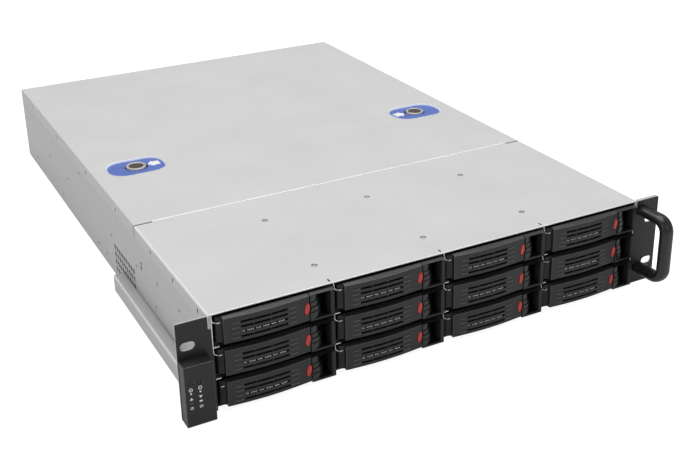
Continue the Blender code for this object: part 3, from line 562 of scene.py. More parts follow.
def make_floor():
    """A pale floor that glows enough to look white to the camera."""
    material = bpy.data.materials.new("floor")
    material.use_nodes = True
    tree = material.node_tree
    shader = tree.nodes["Principled BSDF"]
    noise = add_node(tree, "ShaderNodeTexNoise", Scale=3.0)
    rays = add_node(tree, "ShaderNodeLightPath")
    tree.links.new(add_ramp(tree, noise.outputs["Fac"], 0.0, 1.0, 0.85, 0.95), shader.inputs["Roughness"])
    glow = add_ramp(tree, rays.outputs["Is Camera Ray"], 0.0, 1.0, FLOOR_GLOW, FLOOR_WHITE)
    tree.links.new(glow, shader.inputs["Emission Strength"])
    shader.inputs["Base Color"].default_value = FLOOR_GREY
    shader.inputs["Emission Color"].default_value = WHITE_LIGHT
    shape = bmesh.new()
    corners = rectangle((-FLOOR_REACH, -FLOOR_REACH), (FLOOR_REACH, FLOOR_REACH))
    shape.faces.new([shape.verts.new((x, y, -FLOOR_DROP)) for x, y in corners])
    floor = bpy.data.objects.new("floor", to_mesh(shape, "floor", material))
    bpy.context.scene.collection.objects.link(floor)


def set_stage():
    """Plain view colours, the sky, three soft lights and the floor."""
    bpy.context.scene.view_settings.view_transform = "Standard"
    bpy.context.scene.view_settings.look = "None"
    set_sky()
    add_light("overhead", (0.25, 0.35, 2.4), (0.0, 0.0, 0.0), (2.6, 2.2), OVERHEAD_POWER)
    add_light("front", (0.9, -2.2, 1.2), (0.0, -0.3, 0.0), (1.6, 0.9), FRONT_POWER)
    add_light("sparkle", (-1.7, -1.5, 1.35), (0.0, -0.2, 0.0), (0.5, 0.5), SPARKLE_POWER)
    make_floor()


set_camera()
set_stage()

# ---------------------------------------------------------------- case

LATCH_LOW, LATCH_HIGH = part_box("cover_latch_right")
LATCH_X = (LATCH_LOW.x + LATCH_HIGH.x) / 2
LATCH_Y = (LATCH_LOW.y + LATCH_HIGH.y) / 2
LATCH_SOLE = LATCH_LOW.z
LATCH_CORNER = 18.5 * MM
LATCH_FLOOR = TOP - 1.4 * MM
LATCH_SLOPE = 2.1 * MM
LATCH_GROOVE = LATCH_SLOPE + 0.6 * MM
RIVET_X = (-106.5 * MM, 0.0, 106.5 * MM)
RIVET_V = (34.0 * MM, 136.0 * MM)
EDGE_HOLES = mm(21.5, 80.0, 138.5, 243.5, 350.0, 470.0, 590.0)
EDGE_HOLE_Z = TOP - 6.6 * MM
FLANGE_SLOT = mm(4.4, 2.6)
SEAM_CUT = 18.0 * MM
SEAM_GAP = 1.5 * MM
WELD = 0.002 * MM


def make_cover(start, end, top_holes, label, body, node, bend_finish, cut_back):
    """A cover: its flat top with holes, its two bends in bend_finish and its two flanges with screw slots,
    each slot backed by a dark plug that paints shade in it.
    """
    flat = HALF - BEND
    short = end - cut_back
    seam_x = HALF - SEAM_CUT
    outline = rectangle((-flat, start), (flat, end))
    if cut_back:
        outline = [(-flat, start), (flat, start), (flat, short), (seam_x, short), (seam_x, end),
                   (-seam_x, end), (-seam_x, short), (-flat, short)]
    places = [FRONT + v for v in EDGE_HOLES if start + 3 * MM < FRONT + v < short - 3 * MM]
    slots = [stadium((y, EDGE_HOLE_Z), *FLANGE_SLOT, 6, upright=True) for y in places]
    flange = rectangle((start, FLANGE_LOW), (short, TOP - BEND))
    sheet, bends, screws = bmesh.new(), bmesh.new(), bmesh.new()
    add_plate(sheet, [outline] + top_holes, "Z", TOP - SHEET, TOP)
    for side in (-1, 1):
        add_plate(sheet, [flange] + slots, "X", *span(side, HALF, HALF - SHEET))
        outer = arc((side * flat, TOP - BEND), (side * BEND, BEND), 90, 0, 8)
        inner = arc((side * flat, TOP - BEND), (side * (BEND - SHEET), BEND - SHEET), 0, 90, 8)
        add_prism(bends, outer + inner, "Y", start, short)
        for slot in slots:
            add_prism(screws, slot, "X", *span(side, HALF - 0.45 * MM, HALF - SHEET))
    bmesh.ops.remove_doubles(sheet, verts=sheet.verts, dist=WELD)
    finish_piece(sheet, label, STEEL, body, stands_for=(node,), smooth=35)
    finish_piece(bends, f"{label}_bends", bend_finish, body, smooth=35)
    # Dark plugs in the flange slots, named screws: painted shade in the slots.
    finish_piece(screws, f"{label}_screws", BLACK_AND_SHADE, body)


def latch_outline(side, inset):
    """A latch's rounded outline, set in by a distance all round."""
    reach_x = (LATCH_HIGH.x - LATCH_LOW.x) / 2 - inset
    reach_y = (LATCH_HIGH.y - LATCH_LOW.y) / 2 - inset
    x = side * LATCH_X
    low, high = (x - reach_x, LATCH_Y - reach_y), (x + reach_x, LATCH_Y + reach_y)
    return rounded(low, high, LATCH_CORNER - inset, 10)


def add_rivet(shape, centre, direction, radius, height):
    """A low domed rivet with a dimple."""
    profile = [(radius, -0.3 * MM), (radius, height * 0.35), (radius * 0.82, height), (radius * 0.5, height),
               (radius * 0.4, height * 0.3), (0.0, height * 0.2)]
    add_lathe(shape, profile, centre, direction, 18)


def make_hem(name, body, reach, y, z, radius, squash=1.0):
    """A folded edge across a cover in the lighter steel: a painted highlight."""
    shape = bmesh.new()
    add_sweep(shape, [(x * reach / 8, y, z) for x in range(-8, 9)], radius, 12, squash)
    finish_piece(shape, name, HIGHLIGHT_STEEL, body)


def make_covers():
    """The two covers with their seam, their front lip, rivets and small slots; the hem and the lip in lighter
    steel paint highlights, and dark strips paint shade in the seam.
    """
    rivets = [(x, FRONT + v) for x in RIVET_X for v in RIVET_V]
    holes = [stadium((x - 1.6 * MM, FRONT + 4.6 * MM), *mm(4.8, 1.7), 5, upright=True) for x in RIVET_X]
    holes += [circle(place, 2.9 * MM, 18) for place in rivets]
    # The front cover's bends take the lighter steel: a painted highlight.
    make_cover(FRONT, SEAM_FRONT, holes, "cover_front", "chassis", "front_top_cover", HIGHLIGHT_STEEL, SEAM_GAP)
    holes = [latch_outline(side, -GAP) for side in (-1, 1)]
    make_cover(SEAM_REAR, REAR, holes, "cover_rear", "rear_cover", "rear_top_cover", STEEL, 0.0)
    shape = bmesh.new()
    for x, y in rivets:
        add_rivet(shape, (x, y, TOP - 0.85 * MM), (0, 0, 1), 2.75 * MM, 0.45 * MM)
    finish_piece(shape, "cover_rivets", RIVET)
    make_hem("cover_hem", "rear_cover", HALF - SEAM_CUT, SEAM_REAR + 0.75 * MM, TOP - 0.10 * MM,
             1.0 * MM, 0.5)
    make_hem("cover_lip", "chassis", HALF - 2.0 * MM, FRONT + 0.35 * MM, TOP - 0.45 * MM, 0.6 * MM)
    shape = bmesh.new()
    for x in RIVET_X:
        add_box(shape, (x - 9 * MM, SEAM_FRONT - 12 * MM, TOP - SHEET - 0.8 * MM),
                (x + 9 * MM, SEAM_REAR + 14 * MM, TOP - SHEET - 0.05 * MM))
    finish_piece(shape, "cover_tongues", ZINC, bevel=0.2 * MM)
    # Dark strips under the seam: painted shade in its gap.
    shape = bmesh.new()
    start, end = SEAM_FRONT - 4 * MM, SEAM_REAR + 4 * MM
    for side in (-1, 1):
        near, far = span(side, HALF - SEAM_CUT, HALF - BEND)
        add_box(shape, (near, start, TOP - 1.3 * MM), (far, end, TOP - SHEET - 0.05 * MM))
        near, far = span(side, HALF - SHEET - 0.05 * MM, HALF - SHEET - 0.25 * MM)
        add_box(shape, (near, start, FLANGE_LOW), (far, end, TOP - BEND))
    finish_piece(shape, "seam_strips", BLACK_AND_SHADE)


# Places on the side walls in millimetres: v back from the front, z up.
SIDE_RIVETS = [(269, 44), (324, 12), (294, 13), (188, 46), (126, 56), (69, 58), (135, 29), (521, 41),
               (380, 70), (440, 42), (600, 14), (600, 66), (470, 12)]
SHORT_SLOTS = [(170.9, 56.0), (171.9, 51.2)]
SHORT_SLOT = mm(4.2, 3.4)
VENT_COLUMNS = 9
VENT_ROWS = 4
VENT_PITCH = mm(7.5, 8.1)
VENT_START_V = 199.0 * MM
VENT_TOP_Z = 35.4 * MM
VENT_REACH = mm(2.7, 3.0)
VENT_CORNER = 0.45
FLOOR_SET_BACK = 6.0 * MM
EAR_TAB_RELIEF = 0.4 * MM
EAR_TAB_END = FRONT + 18.3 * MM


def side_holes():
    """The vent holes and the two short slots of a side wall, as outlines in Y and Z."""
    holes = []
    reach_y, reach_z = VENT_REACH
    cut_y, cut_z = reach_y * VENT_CORNER, reach_z * VENT_CORNER
    corners = [(-reach_y, -cut_z), (-cut_y, -reach_z), (cut_y, -reach_z), (reach_y, -cut_z),
               (reach_y, cut_z), (cut_y, reach_z), (-cut_y, reach_z), (-reach_y, cut_z)]
    for row in range(VENT_ROWS):
        for column in range(VENT_COLUMNS):
            y, z = FRONT + VENT_START_V + column * VENT_PITCH[0], VENT_TOP_Z - row * VENT_PITCH[1]
            holes.append([(y + along, z + up) for along, up in corners])
    for v, z in SHORT_SLOTS:
        low = (FRONT + (v - 2.1) * MM, (z - 1.7) * MM)
        holes.append(rounded(low, (low[0] + SHORT_SLOT[0], low[1] + SHORT_SLOT[1]), 0.8 * MM))
    return holes


def make_shell():
    """Floor and bends, side walls with vents, the step under the covers, rivets and dark screens that paint
    shade behind the vents.
    """
    ledge = FLANGE_LOW - 0.02 * MM
    step = SHEET + GAP
    wall_top = TOP - SHEET - GAP
    shape = bmesh.new()
    add_box(shape, (-HALF + BEND, FRONT + FLOOR_SET_BACK, 0.0), (HALF - BEND, REAR - SHEET / 2, SHEET))
    for side in (-1, 1):
        outer = arc((side * (HALF - BEND), BEND), (side * BEND, BEND), -90, 0, 6)
        inner = arc((side * (HALF - BEND), BEND), (side * (BEND - SHEET), BEND - SHEET), 0, -90, 6)
        add_prism(shape, outer + inner, "Y", EAR_TAB_END, REAR)
        front_in = [(x - side * EAR_TAB_RELIEF, z) for x, z in outer[1:]]
        add_prism(shape, [(side * (HALF - BEND), 0.0)] + front_in + inner, "Y", FRONT, EAR_TAB_END)
        loops = [rectangle((EAR_TAB_END, BEND), (REAR, ledge))] + side_holes()
        add_plate(shape, loops, "X", *span(side, HALF, HALF - SHEET))
        low_x, high_x = span(side, HALF - EAR_TAB_RELIEF, HALF - SHEET)
        add_box(shape, (low_x, FRONT, BEND), (high_x, EAR_TAB_END, ledge))
        upper = [(HALF - SHEET, ledge), (HALF - SHEET, ledge - SHEET), (HALF - step - SHEET, ledge - SHEET),
                 (HALF - step - SHEET, wall_top), (HALF - step, wall_top), (HALF - step, ledge)]
        add_prism(shape, [(side * x, z) for x, z in upper], "Y", FRONT, REAR - SHEET)
    bmesh.ops.remove_doubles(shape, verts=shape.verts, dist=WELD)
    # The shell takes the darker copy of the case steel: painted shade on the sides.
    finish_piece(shape, "case_shell", SHADED_STEEL, stands_for=("chassis_base",), smooth=35)
    rivets, screens = bmesh.new(), bmesh.new()
    for side in (-1, 1):
        for v, z in SIDE_RIVETS:
            add_rivet(rivets, (side * HALF, FRONT + v * MM, z * MM), (side, 0, 0), 1.9 * MM, 0.22 * MM)
        near, far = span(side, HALF - SHEET - 0.1 * MM, HALF - SHEET - 0.5 * MM)
        for start, end, low, high in ((190, 270, 3, 42), (165, 178, 46, 61)):
            add_box(screens, (near, FRONT + start * MM, low * MM), (far, FRONT + end * MM, high * MM))
    finish_piece(rivets, "side_rivets", RIVET)
    finish_piece(screens, "vent_screens", BLACK_AND_SHADE)


def make_channel():
    """The cable duct low on the left side, bent from sheet, in the darker steel that paints shade, with its
    upper bend in the lighter steel as a painted highlight.
    """
    low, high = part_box("cable_channel")
    radius = 1.5 * MM
    thin = radius - SHEET
    shape = bmesh.new()
    lower = [(high.x, low.z)] + arc((low.x + radius, low.z + radius), (radius, radius), 270, 180, 5)
    lower += [(low.x, high.z - radius), (low.x + SHEET, high.z - radius), (low.x + SHEET, low.z + SHEET),
              (high.x, low.z + SHEET)]
    add_prism(shape, lower, "Y", low.y, high.y)
    top = [(low.x + radius, high.z), (high.x, high.z), (high.x, high.z - SHEET),
           (low.x + radius, high.z - SHEET)]
    add_prism(shape, top, "Y", low.y, high.y)
    finish_piece(shape, "cable_duct", SHADED_STEEL, stands_for=("cable_channel",))
    shape = bmesh.new()
    corner = arc((low.x + radius, high.z - radius), (radius, radius), 180, 90, 6)
    corner += arc((low.x + radius, high.z - radius), (thin, thin), 90, 180, 6)
    add_prism(shape, corner, "Y", low.y, high.y)
    finish_piece(shape, "cable_duct_bend", HIGHLIGHT_STEEL)


make_covers()
make_shell()
make_channel()

# ---------------------------------------------------------------- cover latches

ARROW_TIP = 12.7 * MM
ARROW_SCALE = 1.08 * MM
ARROW_HEAD, ARROW_LENGTH = 5.6, 12.0
ARROW_HALF, ARROW_STEM = mm(7.9, 5.0)
RING_WIDTH = 3.1 * MM


def make_latch_plate(side, label, radius):
    """A blue latch plate sunk behind a sloping pale rim, its groove, its arrow and its dark well; the groove's
    darker blue and the dark well are painted shade.
    """
    body, slot = "rear_cover", "latch_blue"
    x, y = side * LATCH_X, LATCH_Y
    well = circle((x + 0.5 * MM, y + 1.1 * MM), radius + 1.4 * MM, 40)
    shape = bmesh.new()
    add_plate(shape, [latch_outline(side, LATCH_GROOVE), well], "Z", LATCH_SOLE, LATCH_FLOOR)
    finish_piece(shape, f"latch_plate_{label}", BLUE, body, slot, (f"cover_latch_{label}",), bevel=0.12 * MM)
    shape = bmesh.new()
    edges = [latch_outline(side, LATCH_SLOPE), latch_outline(side, LATCH_GROOVE + 0.05 * MM)]
    add_plate(shape, edges, "Z", LATCH_SOLE, LATCH_FLOOR - 0.1 * MM)
    finish_piece(shape, f"latch_groove_{label}", BLUE_GROOVE_SHADE, body, slot)
    shape = bmesh.new()
    levels = ((0.0, LATCH_SOLE), (0.0, TOP + 0.12 * MM), (0.3 * MM, TOP + 0.2 * MM),
              (0.6 * MM, TOP + 0.1 * MM), (LATCH_SLOPE, LATCH_FLOOR - 0.3 * MM), (LATCH_SLOPE, LATCH_SOLE))
    add_layers(shape, [(latch_outline(side, inset), level) for inset, level in levels], closed=True)
    finish_piece(shape, f"latch_rim_{label}", LATCH_RIM, body, slot)
    shape = bmesh.new()
    tip = side * (LATCH_X - ARROW_TIP)
    back = -side * ARROW_SCALE
    neck, end = tip + ARROW_HEAD * back, tip + ARROW_LENGTH * back
    y += 2.0 * MM
    arrow = [(tip, y), (neck, y + ARROW_HALF), (neck, y + ARROW_STEM), (end, y + ARROW_STEM),
             (end, y - ARROW_STEM), (neck, y - ARROW_STEM), (neck, y - ARROW_HALF)]
    add_prism(shape, arrow, "Z", LATCH_FLOOR - 0.3 * MM, LATCH_FLOOR + 0.15 * MM)
    finish_piece(shape, f"latch_arrow_{label}", WHITE, body, slot, bevel=0.1 * MM, segments=1)
    shape = bmesh.new()
    wide = radius + 2.2 * MM
    add_lathe(shape, [(wide, -3.6 * MM), (wide, -3.2 * MM)], (x, LATCH_Y, LATCH_SOLE), (0, 0, 1), 32)
    finish_piece(shape, f"latch_well_{label}", BLACK_AND_SHADE, body, slot)


def make_latch_button(side, label, radius, lift):
    """A latch's push button: a plated ring round a dark core."""
    body, slot = f"cover_button_{label}", "button_chrome"
    centre = (side * LATCH_X, LATCH_Y)
    core = radius - RING_WIDTH
    base = LATCH_SOLE - TOP
    crown = lift - TOP
    profile = [(core + 0.1 * MM, base), (radius, base), (radius, crown - 0.5 * MM),
               (radius - 0.2 * MM, crown - 0.15 * MM), (radius - 0.6 * MM, crown),
               (core + 0.5 * MM, crown - 0.05 * MM), (core + 0.1 * MM, crown - 0.4 * MM)]
    shape = bmesh.new()
    add_layers(shape, [(circle(centre, reach, 40), TOP + height) for reach, height in profile], closed=True)
    finish_piece(shape, f"latch_ring_{label}", RING, body, slot, (body,))
    profile = [(core, base), (core, crown - 0.45 * MM), (core - 0.5 * MM, crown - 0.25 * MM),
               (core * 0.6, crown - 0.35 * MM), (0.0, crown - 0.45 * MM)]
    shape = bmesh.new()
    add_lathe(shape, profile, (*centre, TOP), (0, 0, 1), 36)
    finish_piece(shape, f"latch_core_{label}", KEY_BROWN, body, slot)


def make_latches():
    """Both latches with their push buttons."""
    low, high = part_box("cover_button_right")
    radius = (high.x - low.x) / 2
    for side, label in ((-1, "left"), (1, "right")):
        make_latch_plate(side, label, radius)
        make_latch_button(side, label, radius, high.z)


make_latches()

# ---------------------------------------------------------------- ears, handle and control box

FACE_PROUD = 0.2 * MM
EAR_SLOT_X = 232.5 * MM
EAR_SLOT = mm(12.5, 7.5)
EAR_SLOT_LEVELS = {-1: mm(66.2), 1: mm(21.8, 66.2)}
EAR_TAB_LEVELS = {-1: mm(2, 16.4), 1: mm(4, 84)}
HANDLE_THIN = 4.8 * MM
HANDLE_BEND = 11.0 * MM
HANDLE_RISE = 3.5 * MM
HANDLE_ROUNDNESS = 0.88
PRINT_DEPTH = 0.10 * MM


def make_ears():
    """Rack ears: a black face on a pale plate, with the slots cut through and a tab along the body."""
    face_back = FRONT + 0.75 * MM
    for side, label in ((-1, "left"), (1, "right")):
        low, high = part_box(f"{label}_ear")
        loops = [rounded((low.x, low.z), (high.x, high.z), 0.7 * MM, 3)]
        loops += [stadium((side * EAR_SLOT_X, z), *EAR_SLOT, 10) for z in EAR_SLOT_LEVELS[side]]
        face, plate = bmesh.new(), bmesh.new()
        add_plate(face, loops, "Y", FRONT - FACE_PROUD, face_back)
        # The face's rounded edges take the lighter ear black: a painted highlight.
        finish_piece(face, f"ear_face_{label}", EAR_PAINT, "chassis", "ear_black", (f"{label}_ear",),
                     bevel=0.2 * MM, segments=1, edging=EAR_EDGE_HIGHLIGHT)
        add_plate(plate, loops, "Y", face_back, FRONT + 2.0 * MM)
        tab_x = span(side, HALF + GAP, HALF + GAP + 2 * MM)
        tab_z = EAR_TAB_LEVELS[side]
        add_box(plate, (tab_x[0], FRONT + 2 * MM, tab_z[0]), (tab_x[1], FRONT + 18 * MM, tab_z[1]))
        if side > 0:
            add_box(plate, (tab_x[1], FRONT + 2 * MM, high.z - 1.6 * MM),
                    (high.x - 0.3 * MM, FRONT + 4.6 * MM, high.z - 0.05 * MM))
        # The plate takes the darker copy of the case steel: painted shade.
        finish_piece(plate, f"ear_plate_{label}", SHADED_STEEL, "chassis", "ear_black")
    lips = bmesh.new()
    for left, right, low_z, high_z in ((-215.4, -211.4, 1.0, 55.0), (-215.4, -212.8, 55.0, 75.9),
                                       (212.6, 215.4, 1.0, 75.9)):
        add_box(lips, (left * MM, FRONT - FACE_PROUD, low_z * MM),
                (right * MM, FRONT - 0.02 * MM, high_z * MM))
    finish_piece(lips, "ear_lips", EAR_PAINT, "chassis", "ear_black")


def make_handle():
    """The oval bar bent into a bow, with a screw at each end behind the ear."""
    low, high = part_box("front_handle")
    wide = (high.x - low.x) / 2
    x = (high.x + low.x) / 2
    z_low, z_high = low.z + HANDLE_THIN + HANDLE_RISE, high.z - HANDLE_THIN
    reach = low.y + HANDLE_THIN
    radii = (HANDLE_BEND, HANDLE_BEND)
    stubs = (FRONT - 0.3 * MM, FRONT - 8 * MM, FRONT - 16 * MM)
    path = [(y, z_high) for y in stubs]
    path += arc((reach + HANDLE_BEND, z_high - HANDLE_BEND), radii, 90, 180, 12)
    upright = z_high - z_low - 2 * HANDLE_BEND
    path += [(reach, z_high - HANDLE_BEND - upright * part / 4) for part in (1, 2, 3)]
    path += arc((reach + HANDLE_BEND, z_low + HANDLE_BEND), radii, 180, 270, 12)
    path += [(y, z_low) for y in reversed(stubs)]
    shape = bmesh.new()
    rings = []
    for i, (y, z) in enumerate(path):
        before = path[max(i - 1, 0)]
        after = path[min(i + 1, len(path) - 1)]
        along = Vector((after[0] - before[0], after[1] - before[1])).normalized()
        ring = []
        for angle in range(0, 360, 12):
            cosine, sine = math.cos(math.radians(angle)), math.sin(math.radians(angle))
            across = wide * math.copysign(abs(cosine) ** HANDLE_ROUNDNESS, cosine)
            offset = HANDLE_THIN * math.copysign(abs(sine) ** HANDLE_ROUNDNESS, sine)
            ring.append(shape.verts.new((x + across, y + offset * along.y, z - offset * along.x)))
        rings.append(ring)
    add_skin(shape, rings)
    finish_piece(shape, "handle_bow", HANDLE_PAINT, "chassis", "ear_black", ("front_handle",))
    shape = bmesh.new()
    for z in (z_low, z_high):
        add_screw(shape, (x, FRONT + 2.05 * MM, z), (0, 1, 0), 4.2 * MM, 1.6 * MM)
    finish_piece(shape, "handle_screws", ZINC, "chassis", "ear_black")


def make_control_box():
    """The control box on the left ear: bevelled housing whose rounded edges take a lighter black as a painted
    highlight, two buttons, printed signs and lamps.
    """
    low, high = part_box("control_box")
    y = low.y
    housing = box_mesh([(low, high)])
    places = []
    for node in ("power_button", "reset_button"):
        near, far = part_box(node)
        x, z, radius = (near.x + far.x) / 2, (near.z + far.z) / 2, (far.x - near.x) / 2
        hole = circle((x, z), radius + 0.22 * MM, 24)
        housing = cut(housing, prism_mesh(hole, "Y", y - MM, FRONT - 3 * MM))
        places.append((node, x, z, radius, near.y, far.y))
    housing = rework(housing, "control_housing", EAR_PAINT, 0.5 * MM, 3, edging=EAR_EDGE_HIGHLIGHT)
    put("control_housing", housing, "chassis", ("control_box",))
    for node, x, z, radius, near, far in places:
        shape = bmesh.new()
        depth = far - near
        profile = [(radius, 0.0), (radius, depth - 0.4 * MM), (radius - 0.4 * MM, depth),
                   (radius * 0.55, depth - 0.12 * MM), (0.0, depth - 0.3 * MM)]
        add_lathe(shape, profile, (x, far, z), (0, -1, 0), 24)
        finish_piece(shape, f"{node}_cap", BLACK, node, "bezel_black", (node,))
    make_panel_signs(places[0][1], places[1][1], y)


def make_panel_signs(left, right, y):
    """Plain printed signs and a lamp under each of the control box's buttons."""
    shape = bmesh.new()

    def sign(*loops):
        """One printed mark with the holes in it."""
        add_plate(shape, loops, "Y", y - PRINT_DEPTH, y + 0.2 * MM)

    def block(x, low, high, half):
        """Two corners of a block about x, from low to high; its sizes in millimetres."""
        return (x - half * MM, low * MM), (x + half * MM, high * MM)

    for x, z in ((left, 34.4), (right, 34.6)):
        sign(circle((x, z * MM), 1.6 * MM, 20), circle((x, z * MM), 0.95 * MM, 20))
    solid = [rectangle(*block(left, 34.4, 36.4, 0.3)), circle((left, 31.0 * MM), 0.8 * MM, 12),
             circle((right, 31.1 * MM), 0.8 * MM, 12)]
    low, high = block(left, 25.3, 27.7, 1.5)
    solid.append([low, (high[0], low[1]), (left, high[1])])
    low, high = block(right, 25.2, 27.6, 1.5)
    solid.append([(low[0], high[1]), (right, low[1]), high])
    solid += [rectangle(*block(left, z, z + 0.6, 1.3)) for z in (17.1, 18.4)]
    for outline in solid:
        add_prism(shape, outline, "Y", y - PRINT_DEPTH, y + 0.2 * MM)
    sign(rounded(*block(right, 16.8, 18.9, 1.3), 0.4 * MM), rounded(*block(right, 17.3, 18.4, 0.8), 0.2 * MM))
    finish_piece(shape, "panel_signs", WHITE, "chassis", "bezel_black")
    for x, material, name in ((left, LAMP_RED, "panel_lamp_left"), (right, WHITE, "panel_lamp_right")):
        shape = bmesh.new()
        add_prism(shape, stadium((x, 22.6 * MM), *mm(2.8, 1.5), 8), "Y", y - 0.25 * MM, y + 0.4 * MM)
        finish_piece(shape, name, material, "chassis", "bezel_black", bevel=0.15 * MM)


make_ears()
make_handle()
make_control_box()

# ---------------------------------------------------------------- bays

PIVOT_U = 6.0 * MM
PIVOT_V = 2.6 * MM
BARREL_RADIUS = 3.0 * MM
LEVER_START = 7.8 * MM
LEVER_END = 81.7 * MM
LEVER_EDGE_V = -4.6 * MM
LEVER_BULGE = 2.2 * MM
LEVER_BACK_V = 2.0 * MM
LEVER_LOW = -10.9 * MM
FACE_TOP = 11.3 * MM
RIDGE_V = -1.0 * MM
RIDGE_Z = 12.4 * MM
LEVER_NECK_Z = 11.4 * MM
FRAME_FRONT = -5.0 * MM
FRAME_LEFT = 82.0 * MM
FRAME_LOW = -12.0 * MM
FRAME_LEDGE = 12.0 * MM
BEZEL_FRONT = 4.0 * MM
BEZEL_BACK = 14.0 * MM
BEZEL_LEFT = 0.7 * MM
BEZEL_RIGHT = 104.1 * MM
BEZEL_HALF_HEIGHT = 13.65 * MM
POCKET = (1.2 * MM, 82.3 * MM, 8.2 * MM, 24.0 * MM)
RECESS_LEFT = 83.0 * MM
RECESS_RIGHT = 99.7 * MM
RECESS_BACK = 9.0 * MM
RECESS_LOW = -10.2 * MM
RECESS_HIGH = 11.4 * MM
BUTTON_U = 79.8 * MM
BUTTON_SIZE = (10.6 * MM, 5.6 * MM)
BUTTON_FRONT_V = -5.3 * MM
BUTTON_SLANT = 0.25
BUTTON_LEAN = 0.12
BUTTON_BACK_V = 1.4 * MM
SLOT_ROWS = (5.7 * MM, 1.4 * MM, -2.95 * MM, -7.3 * MM)
SLOT_SPAN = (21.9, 62.1)
SLOT_TIES = (32.9, 47.6)
RIB_SPANS = ((14.4, 21.2), (62.9, 70.0))
SLOT_HEIGHT = 2.0 * MM
BUTTON_CLEARANCE = 0.35 * MM
CLIPLESS_BAY = "r3c1"
LEVER_STEPS = 24
RIB_STEPS = 6
# Each fin of the guard beside the button: low z, high z and how far right it reaches, in millimetres.
GUARD_FINS = ((5.85, 11.3, 92.0), (1.05, 4.95, 93.5), (-3.65, 0.15, 95.0), (-10.1, -4.55, 95.0))


def from_left(points):
    """Points measured from a bay's left edge, moved to count from its middle."""
    return [(point[0] - HALF_PITCH, *point[1:]) for point in points]


def lever_front(u):
    """How far the lever's face lies from the body's front, u from the bay's left edge."""
    along = (u - LEVER_START) / (LEVER_END - LEVER_START)
    return LEVER_EDGE_V - LEVER_BULGE * math.sin(math.pi * along)


def make_lever_mesh():
    """The bowed lever face with its button hole and four long slots; its rounded edges take a lighter black as
    a painted highlight.
    """
    layers = []
    for i in range(LEVER_STEPS + 1):
        u = LEVER_START + (LEVER_END - LEVER_START) * i / LEVER_STEPS
        front = lever_front(u)
        section = [(front, LEVER_LOW), (front, FACE_TOP), (RIDGE_V, RIDGE_Z),
                   (RIDGE_V + 0.5 * MM, LEVER_NECK_Z), (LEVER_BACK_V, LEVER_NECK_Z),
                   (LEVER_BACK_V, LEVER_LOW)]
        layers.append((section, u - HALF_PITCH))
    shape = bmesh.new()
    add_layers(shape, layers, "X")
    mesh = to_mesh(shape, "bar", BLACK, 0.3 * MM, 2, edging=BLACK_EDGE_HIGHLIGHT)
    slots = [from_left([(SLOT_SPAN[0] * MM, -12 * MM, z - SLOT_HEIGHT / 2),
                        (SLOT_SPAN[1] * MM, 0.8 * MM, z + SLOT_HEIGHT / 2)]) for z in SLOT_ROWS]
    hole = prism_mesh(button_outline(BUTTON_CLEARANCE), "Y", -20 * MM, 10 * MM)
    return rework(cut(mesh, hole, box_mesh(slots)), "lever", BLACK, 0.12 * MM, 1, limit=50, edging=BLACK_EDGE_HIGHLIGHT)


def make_hinge_mesh():
    """The barrel behind the lever's left end, and the ties that cross the slots, in the darker black that
    paints shade on them.
    """
    outline = [(LEVER_START + MM, -1.5 * MM), (PIVOT_U + 1.6 * BARREL_RADIUS, LEVER_BACK_V - 0.5 * MM)]
    outline += arc((PIVOT_U, PIVOT_V), (BARREL_RADIUS, BARREL_RADIUS), 20, 220, 16)
    shape = bmesh.new()
    add_prism(shape, from_left(outline), "Z", LEVER_LOW + 0.1 * MM, LEVER_NECK_Z - 0.1 * MM)
    for u in mm(*SLOT_TIES):
        for z in SLOT_ROWS:
            add_box(shape, (u - 0.6 * MM - HALF_PITCH, lever_front(u) + 0.9 * MM, z - SLOT_HEIGHT / 2),
                    (u + 0.6 * MM - HALF_PITCH, 0.9 * MM, z + SLOT_HEIGHT / 2))
    return to_mesh(shape, "hinge", SHADED_BLACK)


def make_rib_mesh():
    """The short raised ribs at both ends of the slots, all in the lighter edge black: a painted highlight."""
    shape = bmesh.new()
    for z in SLOT_ROWS:
        for start, end in RIB_SPANS:
            layers = []
            for i in range(RIB_STEPS + 1):
                u = (start + (end - start) * i / RIB_STEPS) * MM
                front = lever_front(u)
                rise = (0.15 if i in (0, RIB_STEPS) else 0.5) * MM
                section = [(front + 0.3 * MM, z - 0.5 * MM), (front - rise, z - 0.42 * MM),
                           (front - rise, z + 0.42 * MM), (front + 0.3 * MM, z + 0.5 * MM)]
                layers.append((section, u - HALF_PITCH))
            add_layers(shape, layers, "X")
    return to_mesh(shape, "ribs", BLACK_EDGE_HIGHLIGHT, 0.12 * MM, 1)


